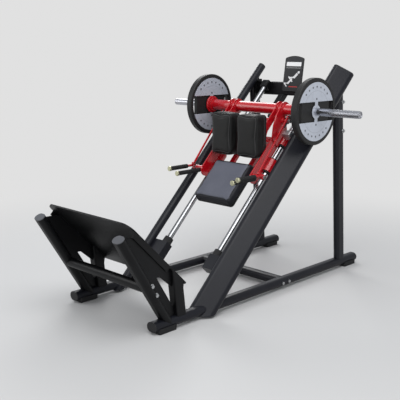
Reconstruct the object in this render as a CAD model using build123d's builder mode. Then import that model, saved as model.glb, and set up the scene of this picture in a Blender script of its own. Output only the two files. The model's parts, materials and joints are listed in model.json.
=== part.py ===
"""Sliding-sled leg press machine with weight horns, in millimetres.

+Z is up, the foot plate is at the -Y end and the rear posts are at the +Y end. The origin is on the
floor, midway across the machine and midway along it. "left" is -X and "right" is +X.
"""

import os
from math import atan2, cos, degrees, radians, sin, sqrt, tan

from build123d import *

os.makedirs("parts", exist_ok=True)

SIDES = ((-1, "left"), (1, "right"))

# The load bar is the reference of the sled: its axis runs across the machine at this place.
LOAD_BAR_Y = 463
LOAD_BAR_Z = 1218

# Slope frame: x across the machine, y square off the slope towards the lifter, z down the slope.
# Its origin is on the load bar's axis, so z = 0 is the load bar and the foot plate is far along z.
SLOPE = Plane(origin=(0, LOAD_BAR_Y, LOAD_BAR_Z), x_dir=(1, 0, 0), z_dir=(0, -1, -1))

TUBE_WALL = 3

# Base
RUNNER_X = 384
RUNNER_Z = 45
RUNNER_FRONT = -910
RUNNER_REAR = 1166
RUNNER_WIDTH = 80
RUNNER_HEIGHT = 60
FOOT_LENGTH = 140
FOOT_CORNER = 12
FOOT_CHAMFER = 3
FOOT_WIDTH = 90
FOOT_HEIGHT = 34
FRONT_FOOT_Y = -820
REAR_FOOT_Y = 1078
BASE_TIE_Y = 292

# Main beams, flat-oval tubes turned about their own axes so that the wide faces look out and forward
BEAM_X = 391
BEAM_OFF_SLOPE = -154
BEAM_WIDTH = 162
BEAM_THICKNESS = 60
BEAM_TURN = -41
BEAM_TOP = -514
BEAM_LENGTH = 2400
BEAM_FOOT_Z = 17

# Rear posts
POST_X = 391
POST_WIDTH = 50
POST_DEPTH = 94
POST_FOOT_Y = 976
POST_FOOT_Z = 60
POST_LEAN = 4.5
POST_TOP_Z = 1450
POST_TOP_OFF_SLOPE = -150

# Upper rear tie between the posts
TIE_Y = 893
TIE_Z = 1332.5
TIE_DEPTH = 60
TIE_HEIGHT = 99
TIE_CORNER = 8
TIE_FLANGE = 8
TIE_FLANGE_DEPTH = 86
TIE_FLANGE_HEIGHT = 150
TIE_FLANGE_SHIFT = 9
SOCKET_START = -334
SOCKET_LENGTH = 56
SOCKET_WIDTH = 64
SOCKET_HEIGHT = 56

# Stop posts and buffers that end the sled's way up
STOP_X = 95
STOP_OFF_SLOPE = -236
STOP_SIZE = 50
STOP_END = -139
STOP_LENGTH = 240
BUFFER_LENGTH = 30
BUFFER_DIAMETER = 44
BUFFER_TAPER = 8

# Front uprights that lean away from the lifter, and the tube between them
UPRIGHT_X = 384
UPRIGHT_WIDTH = 80
UPRIGHT_DEPTH = 60
UPRIGHT_LEAN = 31.5
UPRIGHT_FOOT_Y = -795
UPRIGHT_TOP_Z = 613
FRONT_TIE_DIAMETER = 60
FRONT_TIE_INSET = 20
FRONT_TIE_Z = 290

# Foot plate, square to the slope
PLATE_DOWN_SLOPE = 1462
PLATE_THICKNESS = 10
PLATE_HALF_WIDTH = 400
PLATE_LOW = 100
PLATE_HIGH = 721
PLATE_TOP_RADIUS = 65
PLATE_LOW_RADIUS = 15
PLATE_FLANGE = 30
PLATE_FLANGE_WALL = 6
PLATE_FLANGE_LOW = 290
PLATE_FLANGE_HIGH = 650

# Gussets behind the foot plate's sides, and the struts from them down to the runners
GUSSET_THICKNESS = 10
GUSSET_LOW = 112
GUSSET_HIGH = 612
GUSSET_WINDOW = ((-876, 339), (-851, 338), (-756, 256), (-736.5, 132), (-752, 136))
STRUT_WIDTH = 60
STRUT_DEPTH = 75
STRUT_CORNER = 8
STRUT_LENGTH = 320
STRUT_FOOT_Y = -694
STRUT_LEAN = 7

# Guide rods
ROD_X = 242
ROD_OFF_SLOPE = -166
ROD_DIAMETER = 40
ROD_CHAMFER = 1
ROD_TOP = -354
ROD_FOOT = 1241
BRACKET_TOP = 1136
BRACKET_LENGTH = 110
BRACKET_HEIGHT = 70
BRACKET_INNER_X = 207
BRACKET_OUTER_X = 350
BRACKET_CORNER = 6
BUMPER_DIAMETER = 68
BUMPER_HEIGHT = 44
BUMPER_TAPER = 3

# Load bar, horns and weight plates
LOAD_BAR_DIAMETER = 76
LOAD_BAR_END = 451
LOAD_BAR_PLUG = 385
COLLAR_DIAMETER = 125
COLLAR_CHAMFER = 2
COLLAR_BOSS_DIAMETER = 100
COLLAR_THICKNESS = 12
COLLAR_BOSS = 20
HORN_DIAMETER = 50
HORN_END = 842
HORN_CAP = 8
HORN_WALL = 6
HORN_GROOVE_GAP = 0.5
HORN_GROOVE_WIDTH = 2
HORN_GROOVE_DEPTH = 0.5
HORN_CAP_RELIEF = 1
RUNNING_CLEARANCE = 0.05
DISC_DIAMETER = 450
DISC_THICKNESS = 45
DISC_INNER_X = LOAD_BAR_END + COLLAR_THICKNESS
DISC_FACE_RADIUS = 197
DISC_CHAMFER = 5
DISC_BAND = 67
DISC_BAND_DEPTH = 8
DISC_WINDOW_START = 152
DISC_WINDOW_RADIUS = 190
DISC_HUB_RADIUS = 46
DISC_LINK = 32
DISC_FACE_THICKNESS = 2

# Sled bearings
HOUSING_DIAMETER = 76
HOUSING_LENGTH = 100
UPPER_HOUSING = 102
LOWER_HOUSING = 331
BUSH_DIAMETER = 62
SEAL_THICKNESS = 8
SEAL_DIAMETER = 68

# Lock shaft under the load bar, its struts and cranks, and the stop blocks on the main beams
LOCK_OFF_SLOPE = -40
LOCK_DOWN_SLOPE = 68
LOCK_DIAMETER = 22
LOCK_END = 304
LOCK_NUT_DIAMETER = 26
LOCK_NUT_HEIGHT = 6
LOCK_STRUT_X = 283
LOCK_STRUT_THICKNESS = 14
LOCK_STRUT_REACH = 54
LOCK_STRUT_WIDTH = 20
LOCK_STRUT_RISE = 6
LOCK_HUB_DIAMETER = 40
BLOCK_INNER_X = 276
BLOCK_OUTER_X = 340
BLOCK_START = 130
BLOCK_END = 168
BLOCK_CORNER = 5
BLOCK_LOW = -122
BLOCK_HIGH = -62
CRANK_RADIUS = 40
CRANK_THICKNESS = 6
CRANK_WIDTH = 24
LOCK_CRANK_X = 299
LINK_X = 307
LINK_THICKNESS = 8
LINK_BAR_WIDTH = 12
LINK_EYE_DIAMETER = 24
LINK_PIN_DIAMETER = 12
LINK_PIN_LENGTH = 10
BEARING_BOSS_DIAMETER = 42
BEARING_BOSS_LENGTH = 12

# Carriage and pads
CHEEK_X = 230
CHEEK_THICKNESS = 8
CHEEK_START = 150
CHEEK_END = 529
CHEEK_LOW = -141
CHEEK_HIGH = -52
ARM_X = 239
ARM_THICKNESS = 10
ARM_RING_DIAMETER = 108
ARM_CORNER = 8
ARM_OUTLINE = ((20, 48), (85, 41), (160, 10), (230, -43), (234, -130), (102, -150), (19, -25))
CARRIAGE_PLATE_TOP = -133.3
CARRIAGE_PLATE_THICKNESS = 8
CARRIAGE_PLATES = ((205, 328, 226), (434, 520, 226), (690, 750, 130))
CARRIAGE_TIE_START = 96
CARRIAGE_TIE_END = 146
CARRIAGE_TIE_HIGH = -206
CARRIAGE_TIE_LOW = -256
CARRIAGE_TIE_CORNER = 8
TIE_LUG_INWARD = 16
TIE_LUG_DOWN = 24
TIE_LUG_WIDTH = 30
TIE_LUG_HEIGHT = 34
PAD_RAIL_X = 90
PAD_RAIL_WIDTH = 40
PAD_RAIL_HEIGHT = 25
PAD_RAIL_CORNER = 4
PAD_RAIL_START = 210
PAD_RAIL_END = 750
PAD_ARM_X = 195
PAD_ARM_THICKNESS = 8
PAD_ARM_HIGH = 43
PAD_ARM_LOW = -10
PAD_ARM_FOOT_LOW = -50
PAD_EDGE_RADIUS = 14
BOARD_THICKNESS = 12
SOFT_GAP = 0.3
BACK_PAD_START = 426
BACK_PAD_LENGTH = 350
BACK_PAD_HALF_WIDTH = 177
BACK_PAD_THICKNESS = 60
BACK_PAD_CORNER = 28
BOARD_INSET = 6
SHOULDER_PAD_INNER = 18
SHOULDER_PAD_OUTER = 224
SHOULDER_PAD_CORNER = 30
SHOULDER_PAD_FRONT_Y = 190
SHOULDER_PAD_THICKNESS = 92
SHOULDER_PAD_LOW_Z = 890
SHOULDER_PAD_HIGH_Z = 1195

# Handles, level and pointing at the foot plate
HANDLE_Y = LOAD_BAR_Y - 320
HANDLE_Z = 790
HANDLE_TUBE_DIAMETER = 30
HANDLE_TUBE_END = 306
PIVOT_DIAMETER = 20
PIVOT_END = 338
PIVOT_NUT_X = 333
PIVOT_NUT_DIAMETER = 28
LEVER_X = 322
LEVER_RISE = 13
LEVER_HUB_DIAMETER = 36
LEVER_HUB_WIDTH = 20
LEVER_CRANK_X = 315
LEVER_GRIP_START = 84
LEVER_GRIP_LENGTH = 162
FIXED_GRIP_X = 262
FIXED_GRIP_DROP = 16
FIXED_GRIP_START = 15
FIXED_GRIP_LENGTH = 215
STEM_DIAMETER = 18
GRIP_DIAMETER = 31
GRIP_RINGS = 9
GRIP_RING_WIDTH = 3
GRIP_RING_DEPTH = 1
GRIP_CAP_DIAMETER = 35
GRIP_CAP_LENGTH = 13
GRIP_CAP_CHAMFER = 2

# Placard above the upper tie
PLACARD_WIDTH = 170
PLACARD_HEIGHT = 262
PLACARD_ARCH = 17
PLACARD_THICKNESS = 10
PLACARD_LEAN = 8.3
PLACARD_LOW_Y = 839
PLACARD_LOW_Z = 1319
PLACARD_CORNER = 12
PLACARD_LABEL_INSET = 7
PLACARD_LABEL_THICKNESS = 0.8
PLACARD_FOOT_X = 55
PLACARD_FOOT_RISE = 4
PLACARD_FOOT_WIDTH = 30
PLACARD_FOOT_HEIGHT = 48
PLACARD_FOOT_DEPTH = 20

# Fasteners
BOLT_HEAD_DIAMETER = 22
BOLT_HEAD_HEIGHT = 9
WASHER_DIAMETER = 30
WASHER_HEIGHT = 2.5
BOLT_SEAT = 6
RUNNER_BOLTS = ((259, RUNNER_Z), (326, RUNNER_Z))
UPRIGHT_BOLTS = ((-937, 308), (-905, 247))
POST_BOLTS = ((912, 1256), (927, 1046))

CAP_THICKNESS = 5
CAP_SPIGOT = 14
CAP_CLEARANCE = 0.2


def save(builder, node):
    """Label a finished part and write it to its own STEP file."""
    builder.part.label = node
    export_step(builder.part, f"parts/{node}.step")


def across(x, y, z):
    """Plane whose normal points along +X at a point, with x_dir along +Y."""
    return Plane(origin=(x, y, z), x_dir=(0, 1, 0), z_dir=(1, 0, 0))


def slope_at(x, off, down):
    """Section plane of the slope at a place: its normal points down the slope."""
    return Plane(origin=SLOPE.from_local_coords(Vector(x, off, down)), x_dir=(1, 0, 0), z_dir=(0, -1, -1))


def slope_side(x):
    """Plane square to X at x, with x down the slope and y square off the slope."""
    return Plane(origin=(x, LOAD_BAR_Y, LOAD_BAR_Z), x_dir=(0, -1, -1), z_dir=(-1, 0, 0))


def flat_oval(width, height, wall=0, rotation=0):
    """Flat-oval section with full-round ends, hollow when a wall is given."""
    SlotOverall(width, height, rotation=rotation)
    if wall:
        SlotOverall(width - 2 * wall, height - 2 * wall, rotation=rotation, mode=Mode.SUBTRACT)


def tube_cap(plane, width, height, rotation=0):
    """End cap of a flat-oval tube: a plate on the tube's end and a spigot inside it."""
    inset = 2 * (TUBE_WALL + CAP_CLEARANCE)
    with BuildPart() as cap:
        with BuildSketch(plane):
            flat_oval(width, height, rotation=rotation)
        extrude(amount=CAP_THICKNESS)
        with BuildSketch(plane):
            flat_oval(width - inset, height - inset, rotation=rotation)
        extrude(amount=-CAP_SPIGOT)
    return cap.part


def bolt(plane):
    """Hexagon bolt head on a washer, standing on a plane."""
    with BuildPart() as fastener:
        with BuildSketch(plane):
            Circle(WASHER_DIAMETER / 2)
        extrude(amount=WASHER_HEIGHT)
        with BuildSketch(plane.offset(WASHER_HEIGHT)):
            RegularPolygon(radius=BOLT_HEAD_DIAMETER / 2, side_count=6)
        extrude(amount=BOLT_HEAD_HEIGHT)
    return fastener.part


def runner_plane(side, y):
    """Section plane of a runner at y, looking towards +Y."""
    return Plane(origin=(side * RUNNER_X, y, RUNNER_Z), x_dir=(1, 0, 0), z_dir=(0, 1, 0))


def upright_plane(side, rise):
    """Section plane of a front upright at a height above its foot point, looking up the tube."""
    lean = radians(UPRIGHT_LEAN)
    origin = (side * UPRIGHT_X, UPRIGHT_FOOT_Y - rise * tan(lean), RUNNER_Z + rise)
    return Plane(origin=origin, x_dir=(1, 0, 0), z_dir=(0, -sin(lean), cos(lean)))


def runner_bar(side):
    """Solid bar of a runner's outer shape, used to cope what stands on it."""
    with BuildPart() as bar:
        with BuildSketch(runner_plane(side, RUNNER_FRONT)):
            flat_oval(RUNNER_WIDTH, RUNNER_HEIGHT)
        extrude(amount=RUNNER_REAR - RUNNER_FRONT)
    return bar.part


def beam_bar(side):
    """Solid bar of a main beam's outer shape, used to cope what meets it."""
    with BuildPart() as bar:
        with BuildSketch(slope_at(side * BEAM_X, BEAM_OFF_SLOPE, BEAM_TOP)):
            flat_oval(BEAM_WIDTH, BEAM_THICKNESS, rotation=side * BEAM_TURN)
        extrude(amount=BEAM_LENGTH)
    return bar.part


def upright_bar(side):
    """Solid bar of an upright's outer shape, used to cope what meets it."""
    with BuildPart() as bar:
        with BuildSketch(upright_plane(side, 0)):
            flat_oval(UPRIGHT_WIDTH, UPRIGHT_DEPTH)
        extrude(amount=(UPRIGHT_TOP_Z - RUNNER_Z) / cos(radians(UPRIGHT_LEAN)))
    return bar.part


RUNNER_BARS = {side: runner_bar(side) for side, _ in SIDES}
BEAM_BARS = {side: beam_bar(side) for side, _ in SIDES}
UPRIGHT_BARS = {side: upright_bar(side) for side, _ in SIDES}


# ---------------------------------------------------------------- base
for side, hand in SIDES:
    with BuildPart() as runner:
        with BuildSketch(runner_plane(side, RUNNER_FRONT)):
            flat_oval(RUNNER_WIDTH, RUNNER_HEIGHT, TUBE_WALL)
        extrude(amount=RUNNER_REAR - RUNNER_FRONT)
    save(runner, f"{hand}_runner")

caps = []
for side, _ in SIDES:
    front = Plane(origin=(side * RUNNER_X, RUNNER_FRONT, RUNNER_Z), x_dir=(1, 0, 0), z_dir=(0, -1, 0))
    caps.append(tube_cap(front, RUNNER_WIDTH, RUNNER_HEIGHT))
    caps.append(tube_cap(runner_plane(side, RUNNER_REAR), RUNNER_WIDTH, RUNNER_HEIGHT))
with BuildPart() as runner_end_caps:
    add(caps)
save(runner_end_caps, "runner_end_caps")

with BuildPart() as rubber_feet:
    with BuildSketch(Plane.XY):
        for side, _ in SIDES:
            with Locations((side * RUNNER_X, FRONT_FOOT_Y), (side * RUNNER_X, REAR_FOOT_Y)):
                RectangleRounded(FOOT_WIDTH, FOOT_LENGTH, FOOT_CORNER)
    extrude(amount=FOOT_HEIGHT)
    chamfer(rubber_feet.faces().group_by(Axis.Z)[0].edges(), FOOT_CHAMFER)
    for side, _ in SIDES:
        add(RUNNER_BARS[side], mode=Mode.SUBTRACT)
save(rubber_feet, "rubber_feet")

with BuildPart() as base_tie:
    with BuildSketch(across(-RUNNER_X, BASE_TIE_Y, RUNNER_Z)):
        flat_oval(RUNNER_WIDTH, RUNNER_HEIGHT, TUBE_WALL)
    extrude(amount=2 * RUNNER_X)
    for side, _ in SIDES:
        add(RUNNER_BARS[side], mode=Mode.SUBTRACT)
save(base_tie, "base_cross_member")

# ---------------------------------------------------------------- main beams and rear posts
for side, hand in SIDES:
    with BuildPart() as beam:
        with BuildSketch(slope_at(side * BEAM_X, BEAM_OFF_SLOPE, BEAM_TOP)):
            flat_oval(BEAM_WIDTH, BEAM_THICKNESS, TUBE_WALL, rotation=side * BEAM_TURN)
        extrude(amount=BEAM_LENGTH)
        split(bisect_by=Plane.XY.offset(BEAM_FOOT_Z), keep=Keep.TOP)
        add(RUNNER_BARS[side], mode=Mode.SUBTRACT)
    save(beam, f"{hand}_beam")

caps = []
for side, _ in SIDES:
    top_end = SLOPE.from_local_coords(Vector(side * BEAM_X, BEAM_OFF_SLOPE, BEAM_TOP))
    top = Plane(origin=top_end, x_dir=(1, 0, 0), z_dir=(0, 1, 1))
    caps.append(tube_cap(top, BEAM_WIDTH, BEAM_THICKNESS, rotation=-side * BEAM_TURN))
with BuildPart() as beam_end_caps:
    add(caps)
save(beam_end_caps, "beam_end_caps")

POST_DIRECTION = (0, -sin(radians(POST_LEAN)), cos(radians(POST_LEAN)))
BEAM_MIDDLE = Plane(
    origin=SLOPE.from_local_coords(Vector(0, POST_TOP_OFF_SLOPE, 0)),
    x_dir=(1, 0, 0),
    z_dir=SLOPE.y_dir,
)
for side, hand in SIDES:
    with BuildPart() as post:
        with BuildSketch(Plane.XY.offset(POST_FOOT_Z)):
            with Locations((side * POST_X, POST_FOOT_Y)):
                flat_oval(POST_DEPTH, POST_WIDTH, TUBE_WALL, rotation=90)
        extrude(amount=(POST_TOP_Z - POST_FOOT_Z) / cos(radians(POST_LEAN)), dir=POST_DIRECTION)
        split(bisect_by=BEAM_MIDDLE, keep=Keep.BOTTOM)
        add(RUNNER_BARS[side], mode=Mode.SUBTRACT)
        add(BEAM_BARS[side], mode=Mode.SUBTRACT)
    save(post, f"{hand}_post")

PLACARD = Plane(
    origin=(0, PLACARD_LOW_Y, PLACARD_LOW_Z),
    x_dir=(1, 0, 0),
    z_dir=(0, -cos(radians(PLACARD_LEAN)), sin(radians(PLACARD_LEAN))),
)

TIE_HALF = POST_X - POST_WIDTH / 2
TIE_FRONT = TIE_Y - TIE_DEPTH / 2
TIE_BOTTOM = TIE_Z - TIE_HEIGHT / 2


def tie_bar():
    """Solid bar of the upper tie's outer shape, used to cope what hangs on it."""
    with BuildPart() as bar:
        with BuildSketch(across(-TIE_HALF, TIE_Y, TIE_Z)):
            RectangleRounded(TIE_DEPTH, TIE_HEIGHT, TIE_CORNER)
        extrude(amount=2 * TIE_HALF)
    return bar.part


def stop_post_bars():
    """Two stop posts that hang from the tie's lower front edge, parallel to the slope."""
    tie = tie_bar()
    with BuildPart() as posts:
        for side, _ in SIDES:
            with BuildSketch(slope_at(side * STOP_X, STOP_OFF_SLOPE, STOP_END)):
                RectangleRounded(STOP_SIZE, STOP_SIZE, TIE_CORNER)
            extrude(amount=-STOP_LENGTH)
        split(bisect_by=Plane.XY.offset(TIE_BOTTOM + TIE_CORNER), keep=Keep.BOTTOM)
        add(tie, mode=Mode.SUBTRACT)
    return posts.part


def placard_feet():
    """Two wedges between the tie's front face and the placard's back."""
    with BuildPart() as feet:
        with BuildSketch(Plane.XY.offset(PLACARD_LOW_Z + PLACARD_FOOT_RISE)):
            middle = TIE_FRONT - PLACARD_FOOT_DEPTH / 2
            with Locations((-PLACARD_FOOT_X, middle), (PLACARD_FOOT_X, middle)):
                Rectangle(PLACARD_FOOT_WIDTH, PLACARD_FOOT_DEPTH)
        extrude(amount=PLACARD_FOOT_HEIGHT)
        with BuildSketch(PLACARD.offset(-PLACARD_THICKNESS)):
            Rectangle(PLACARD_WIDTH, 2 * PLACARD_HEIGHT)
        extrude(amount=2 * PLACARD_FOOT_DEPTH, mode=Mode.SUBTRACT)
    return feet.part


# Upper tie, welded as one with its end flanges, rod sockets, placard feet and stop posts.
stop_bars = stop_post_bars()
feet = placard_feet()
with BuildPart() as upper_tie:
    with BuildSketch(across(-TIE_HALF, TIE_Y, TIE_Z)):
        RectangleRounded(TIE_DEPTH, TIE_HEIGHT, TIE_CORNER)
        inside = (TIE_DEPTH - 2 * TUBE_WALL, TIE_HEIGHT - 2 * TUBE_WALL, TIE_CORNER - TUBE_WALL)
        RectangleRounded(*inside, mode=Mode.SUBTRACT)
    extrude(amount=2 * TIE_HALF)
    for side, _ in SIDES:
        flange_x = side * (TIE_HALF - TIE_FLANGE / 2) - TIE_FLANGE / 2
        with BuildSketch(across(flange_x, TIE_Y - TIE_FLANGE_SHIFT, TIE_Z - TIE_FLANGE_SHIFT)):
            RectangleRounded(TIE_FLANGE_DEPTH, TIE_FLANGE_HEIGHT, TIE_CORNER)
        extrude(amount=TIE_FLANGE)
        with BuildSketch(slope_at(side * ROD_X, ROD_OFF_SLOPE, SOCKET_START)):
            RectangleRounded(SOCKET_WIDTH, SOCKET_HEIGHT, TIE_CORNER)
        extrude(amount=-SOCKET_LENGTH)
        with BuildSketch(slope_at(side * ROD_X, ROD_OFF_SLOPE, SOCKET_START)):
            Circle(ROD_DIAMETER / 2)
        extrude(amount=ROD_TOP - SOCKET_START, mode=Mode.SUBTRACT)
    add(stop_bars)
    add(feet)
    for side, _ in SIDES:
        add(BEAM_BARS[side], mode=Mode.SUBTRACT)
save(upper_tie, "upper_cross_beam")

with BuildPart() as stop_buffers:
    for side, _ in SIDES:
        with BuildSketch(slope_at(side * STOP_X, STOP_OFF_SLOPE, STOP_END)):
            Circle(BUFFER_DIAMETER / 2)
        extrude(amount=BUFFER_LENGTH, taper=BUFFER_TAPER)
save(stop_buffers, "stop_buffers")

# ---------------------------------------------------------------- front uprights and foot plate
UPRIGHT_RISE = UPRIGHT_TOP_Z - RUNNER_Z
for side, hand in SIDES:
    with BuildPart() as upright:
        with BuildSketch(upright_plane(side, 0).offset(-UPRIGHT_DEPTH)):
            flat_oval(UPRIGHT_WIDTH, UPRIGHT_DEPTH, TUBE_WALL)
        extrude(amount=UPRIGHT_DEPTH + UPRIGHT_RISE / cos(radians(UPRIGHT_LEAN)))
        split(bisect_by=Plane.XY.offset(RUNNER_Z), keep=Keep.TOP)
        add(RUNNER_BARS[side], mode=Mode.SUBTRACT)
    save(upright, f"{hand}_upright")

caps = [tube_cap(upright_plane(side, UPRIGHT_RISE), UPRIGHT_WIDTH, UPRIGHT_DEPTH) for side, _ in SIDES]
with BuildPart() as upright_end_caps:
    add(caps)
save(upright_end_caps, "upright_end_caps")

FRONT_TIE_Y = UPRIGHT_FOOT_Y - (FRONT_TIE_Z - RUNNER_Z) * tan(radians(UPRIGHT_LEAN))
with BuildPart() as front_tie:
    with BuildSketch(across(FRONT_TIE_INSET - UPRIGHT_X, FRONT_TIE_Y, FRONT_TIE_Z)):
        Circle(FRONT_TIE_DIAMETER / 2)
        Circle(FRONT_TIE_DIAMETER / 2 - TUBE_WALL, mode=Mode.SUBTRACT)
    extrude(amount=2 * (UPRIGHT_X - FRONT_TIE_INSET))
    for side, _ in SIDES:
        add(UPRIGHT_BARS[side], mode=Mode.SUBTRACT)
save(front_tie, "front_cross_tube")

with BuildPart() as foot_plate:
    with BuildSketch(SLOPE.offset(PLATE_DOWN_SLOPE)):
        with BuildLine():
            Polyline(
                (-PLATE_HALF_WIDTH, PLATE_HIGH),
                (-PLATE_HALF_WIDTH, PLATE_LOW),
                (PLATE_HALF_WIDTH, PLATE_LOW),
                (PLATE_HALF_WIDTH, PLATE_HIGH),
                close=True,
            )
        make_face()
    extrude(amount=PLATE_THICKNESS)
    corners = foot_plate.edges().filter_by(Axis((0, 0, 0), SLOPE.z_dir)).sort_by(Axis.Z)
    fillet(corners[-2:], PLATE_TOP_RADIUS)
    corners = foot_plate.edges().filter_by(Axis((0, 0, 0), SLOPE.z_dir)).sort_by(Axis.Z)
    fillet(corners[:2], PLATE_LOW_RADIUS)
    for side, _ in SIDES:
        edge = side * (PLATE_HALF_WIDTH - PLATE_FLANGE_WALL / 2)
        with BuildSketch(SLOPE.offset(PLATE_DOWN_SLOPE + PLATE_THICKNESS)):
            with Locations((edge, (PLATE_FLANGE_LOW + PLATE_FLANGE_HIGH) / 2)):
                Rectangle(PLATE_FLANGE_WALL, PLATE_FLANGE_HIGH - PLATE_FLANGE_LOW)
        extrude(amount=PLATE_FLANGE)
save(foot_plate, "foot_plate")

STRUT_DIRECTION = (0, -sin(radians(STRUT_LEAN)), cos(radians(STRUT_LEAN)))
PLATE_BACK = PLATE_DOWN_SLOPE + PLATE_THICKNESS


def strut_bar(side, wall=0):
    """Strut tube from inside the runner up to the back of the foot plate."""
    with BuildPart() as bar:
        with BuildSketch(Plane.XY.offset(RUNNER_Z)):
            with Locations((side * RUNNER_X, STRUT_FOOT_Y)):
                RectangleRounded(STRUT_WIDTH, STRUT_DEPTH, STRUT_CORNER)
                if wall:
                    hollow = (STRUT_WIDTH - 2 * wall, STRUT_DEPTH - 2 * wall, STRUT_CORNER - wall)
                    RectangleRounded(*hollow, mode=Mode.SUBTRACT)
        extrude(amount=STRUT_LENGTH, dir=STRUT_DIRECTION)
        split(bisect_by=SLOPE.offset(PLATE_BACK), keep=Keep.TOP)
        add(RUNNER_BARS[side], mode=Mode.SUBTRACT)
    return bar.part


STRUT_BARS = {side: strut_bar(side) for side, _ in SIDES}
tubes = [strut_bar(side, TUBE_WALL) for side, _ in SIDES]
with BuildPart() as struts:
    add(tubes)
save(struts, "plate_struts")

GUSSET_LOWER = SLOPE.from_local_coords(Vector(0, GUSSET_LOW, PLATE_BACK))
GUSSET_UPPER = SLOPE.from_local_coords(Vector(0, GUSSET_HIGH, PLATE_BACK))
GUSSET_UPPER_Y = UPRIGHT_FOOT_Y - (GUSSET_UPPER.Z - RUNNER_Z) * tan(radians(UPRIGHT_LEAN))
with BuildPart() as gussets:
    for side, _ in SIDES:
        with BuildSketch(across(side * RUNNER_X - GUSSET_THICKNESS / 2, 0, 0)):
            with BuildLine():
                Polyline(
                    (GUSSET_LOWER.Y, GUSSET_LOWER.Z),
                    (GUSSET_UPPER.Y, GUSSET_UPPER.Z),
                    (GUSSET_UPPER_Y, GUSSET_UPPER.Z),
                    (UPRIGHT_FOOT_Y, RUNNER_Z),
                    (STRUT_FOOT_Y, RUNNER_Z),
                    close=True,
                )
            make_face()
            with BuildLine():
                Polyline(*GUSSET_WINDOW, close=True)
            make_face(mode=Mode.SUBTRACT)
        extrude(amount=GUSSET_THICKNESS)
        add(UPRIGHT_BARS[side], mode=Mode.SUBTRACT)
        add(STRUT_BARS[side], mode=Mode.SUBTRACT)
        add(RUNNER_BARS[side], mode=Mode.SUBTRACT)
save(gussets, "plate_gussets")

# ---------------------------------------------------------------- guide rods and their lower brackets
for side, hand in SIDES:
    with BuildPart() as rod:
        with BuildSketch(slope_at(side * ROD_X, ROD_OFF_SLOPE, ROD_TOP)):
            Circle(ROD_DIAMETER / 2)
        extrude(amount=ROD_FOOT - ROD_TOP)
        chamfer(rod.edges(), ROD_CHAMFER)
    save(rod, f"{hand}_guide_rod")

BRACKET_X = (BRACKET_INNER_X + BRACKET_OUTER_X) / 2
with BuildPart() as brackets:
    for side, _ in SIDES:
        with BuildSketch(slope_at(side * BRACKET_X, ROD_OFF_SLOPE, BRACKET_TOP)):
            RectangleRounded(BRACKET_OUTER_X - BRACKET_INNER_X, BRACKET_HEIGHT, BRACKET_CORNER)
        extrude(amount=BRACKET_LENGTH)
        with BuildSketch(slope_at(side * ROD_X, ROD_OFF_SLOPE, BRACKET_TOP)):
            Circle(ROD_DIAMETER / 2)
        extrude(amount=ROD_FOOT - BRACKET_TOP, mode=Mode.SUBTRACT)
        add(BEAM_BARS[side], mode=Mode.SUBTRACT)
save(brackets, "rod_brackets")

with BuildPart() as bumpers:
    for side, _ in SIDES:
        with BuildSketch(slope_at(side * ROD_X, ROD_OFF_SLOPE, BRACKET_TOP)):
            Circle(BUMPER_DIAMETER / 2)
        extrude(amount=-BUMPER_HEIGHT, taper=BUMPER_TAPER)
        with BuildSketch(slope_at(side * ROD_X, ROD_OFF_SLOPE, BRACKET_TOP)):
            Circle(ROD_DIAMETER / 2)
        extrude(amount=-BUMPER_HEIGHT, mode=Mode.SUBTRACT)
save(bumpers, "rod_bumpers")

# ---------------------------------------------------------------- stop blocks on the beams
with BuildPart() as stop_blocks:
    for side, _ in SIDES:
        with BuildSketch(slope_at(side * (BLOCK_INNER_X + BLOCK_OUTER_X) / 2, 0, BLOCK_START)):
            with Locations((0, (BLOCK_LOW + BLOCK_HIGH) / 2)):
                RectangleRounded(BLOCK_OUTER_X - BLOCK_INNER_X, BLOCK_HIGH - BLOCK_LOW, BLOCK_CORNER)
        extrude(amount=BLOCK_END - BLOCK_START)
        add(BEAM_BARS[side], mode=Mode.SUBTRACT)
save(stop_blocks, "stop_blocks")

# ---------------------------------------------------------------- placard
def placard_outline(inset):
    """Placard outline with an arched top edge, drawn inwards from the board's edge."""
    half = PLACARD_WIDTH / 2 - inset
    shoulder = PLACARD_HEIGHT - PLACARD_ARCH - inset
    with BuildSketch(PLACARD) as outline:
        with BuildLine():
            sides = Polyline((-half, shoulder), (-half, inset), (half, inset), (half, shoulder))
            ThreePointArc(sides @ 1, (0, PLACARD_HEIGHT - inset), sides @ 0)
        make_face()
        fillet(outline.vertices(), PLACARD_CORNER)
    return outline.sketch


outline = placard_outline(0)
with BuildPart() as placard:
    extrude(outline, amount=-PLACARD_THICKNESS)
save(placard, "placard_board")

outline = placard_outline(PLACARD_LABEL_INSET)
with BuildPart() as placard_label:
    extrude(outline, amount=PLACARD_LABEL_THICKNESS)
save(placard_label, "placard_label")

# ---------------------------------------------------------------- fasteners of the frame
def side_face(side, reach, place):
    """Plane on a side face of the machine: it looks away from the symmetry plane."""
    return Plane(origin=(side * reach, *place), x_dir=(0, 1, 0), z_dir=(side, 0, 0))


bolts = []
for side, _ in SIDES:
    for place in RUNNER_BOLTS:
        bolts.append(bolt(side_face(side, RUNNER_X + RUNNER_WIDTH / 2 - BOLT_SEAT, place)))
    for place in UPRIGHT_BOLTS:
        bolts.append(bolt(side_face(side, UPRIGHT_X + UPRIGHT_WIDTH / 2 - BOLT_SEAT, place)))
    for place in POST_BOLTS:
        bolts.append(bolt(side_face(side, POST_X + POST_WIDTH / 2, place)))
with BuildPart() as frame_bolts:
    add(bolts)
    for side, _ in SIDES:
        add(RUNNER_BARS[side], mode=Mode.SUBTRACT)
        add(UPRIGHT_BARS[side], mode=Mode.SUBTRACT)
save(frame_bolts, "frame_bolts")

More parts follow.
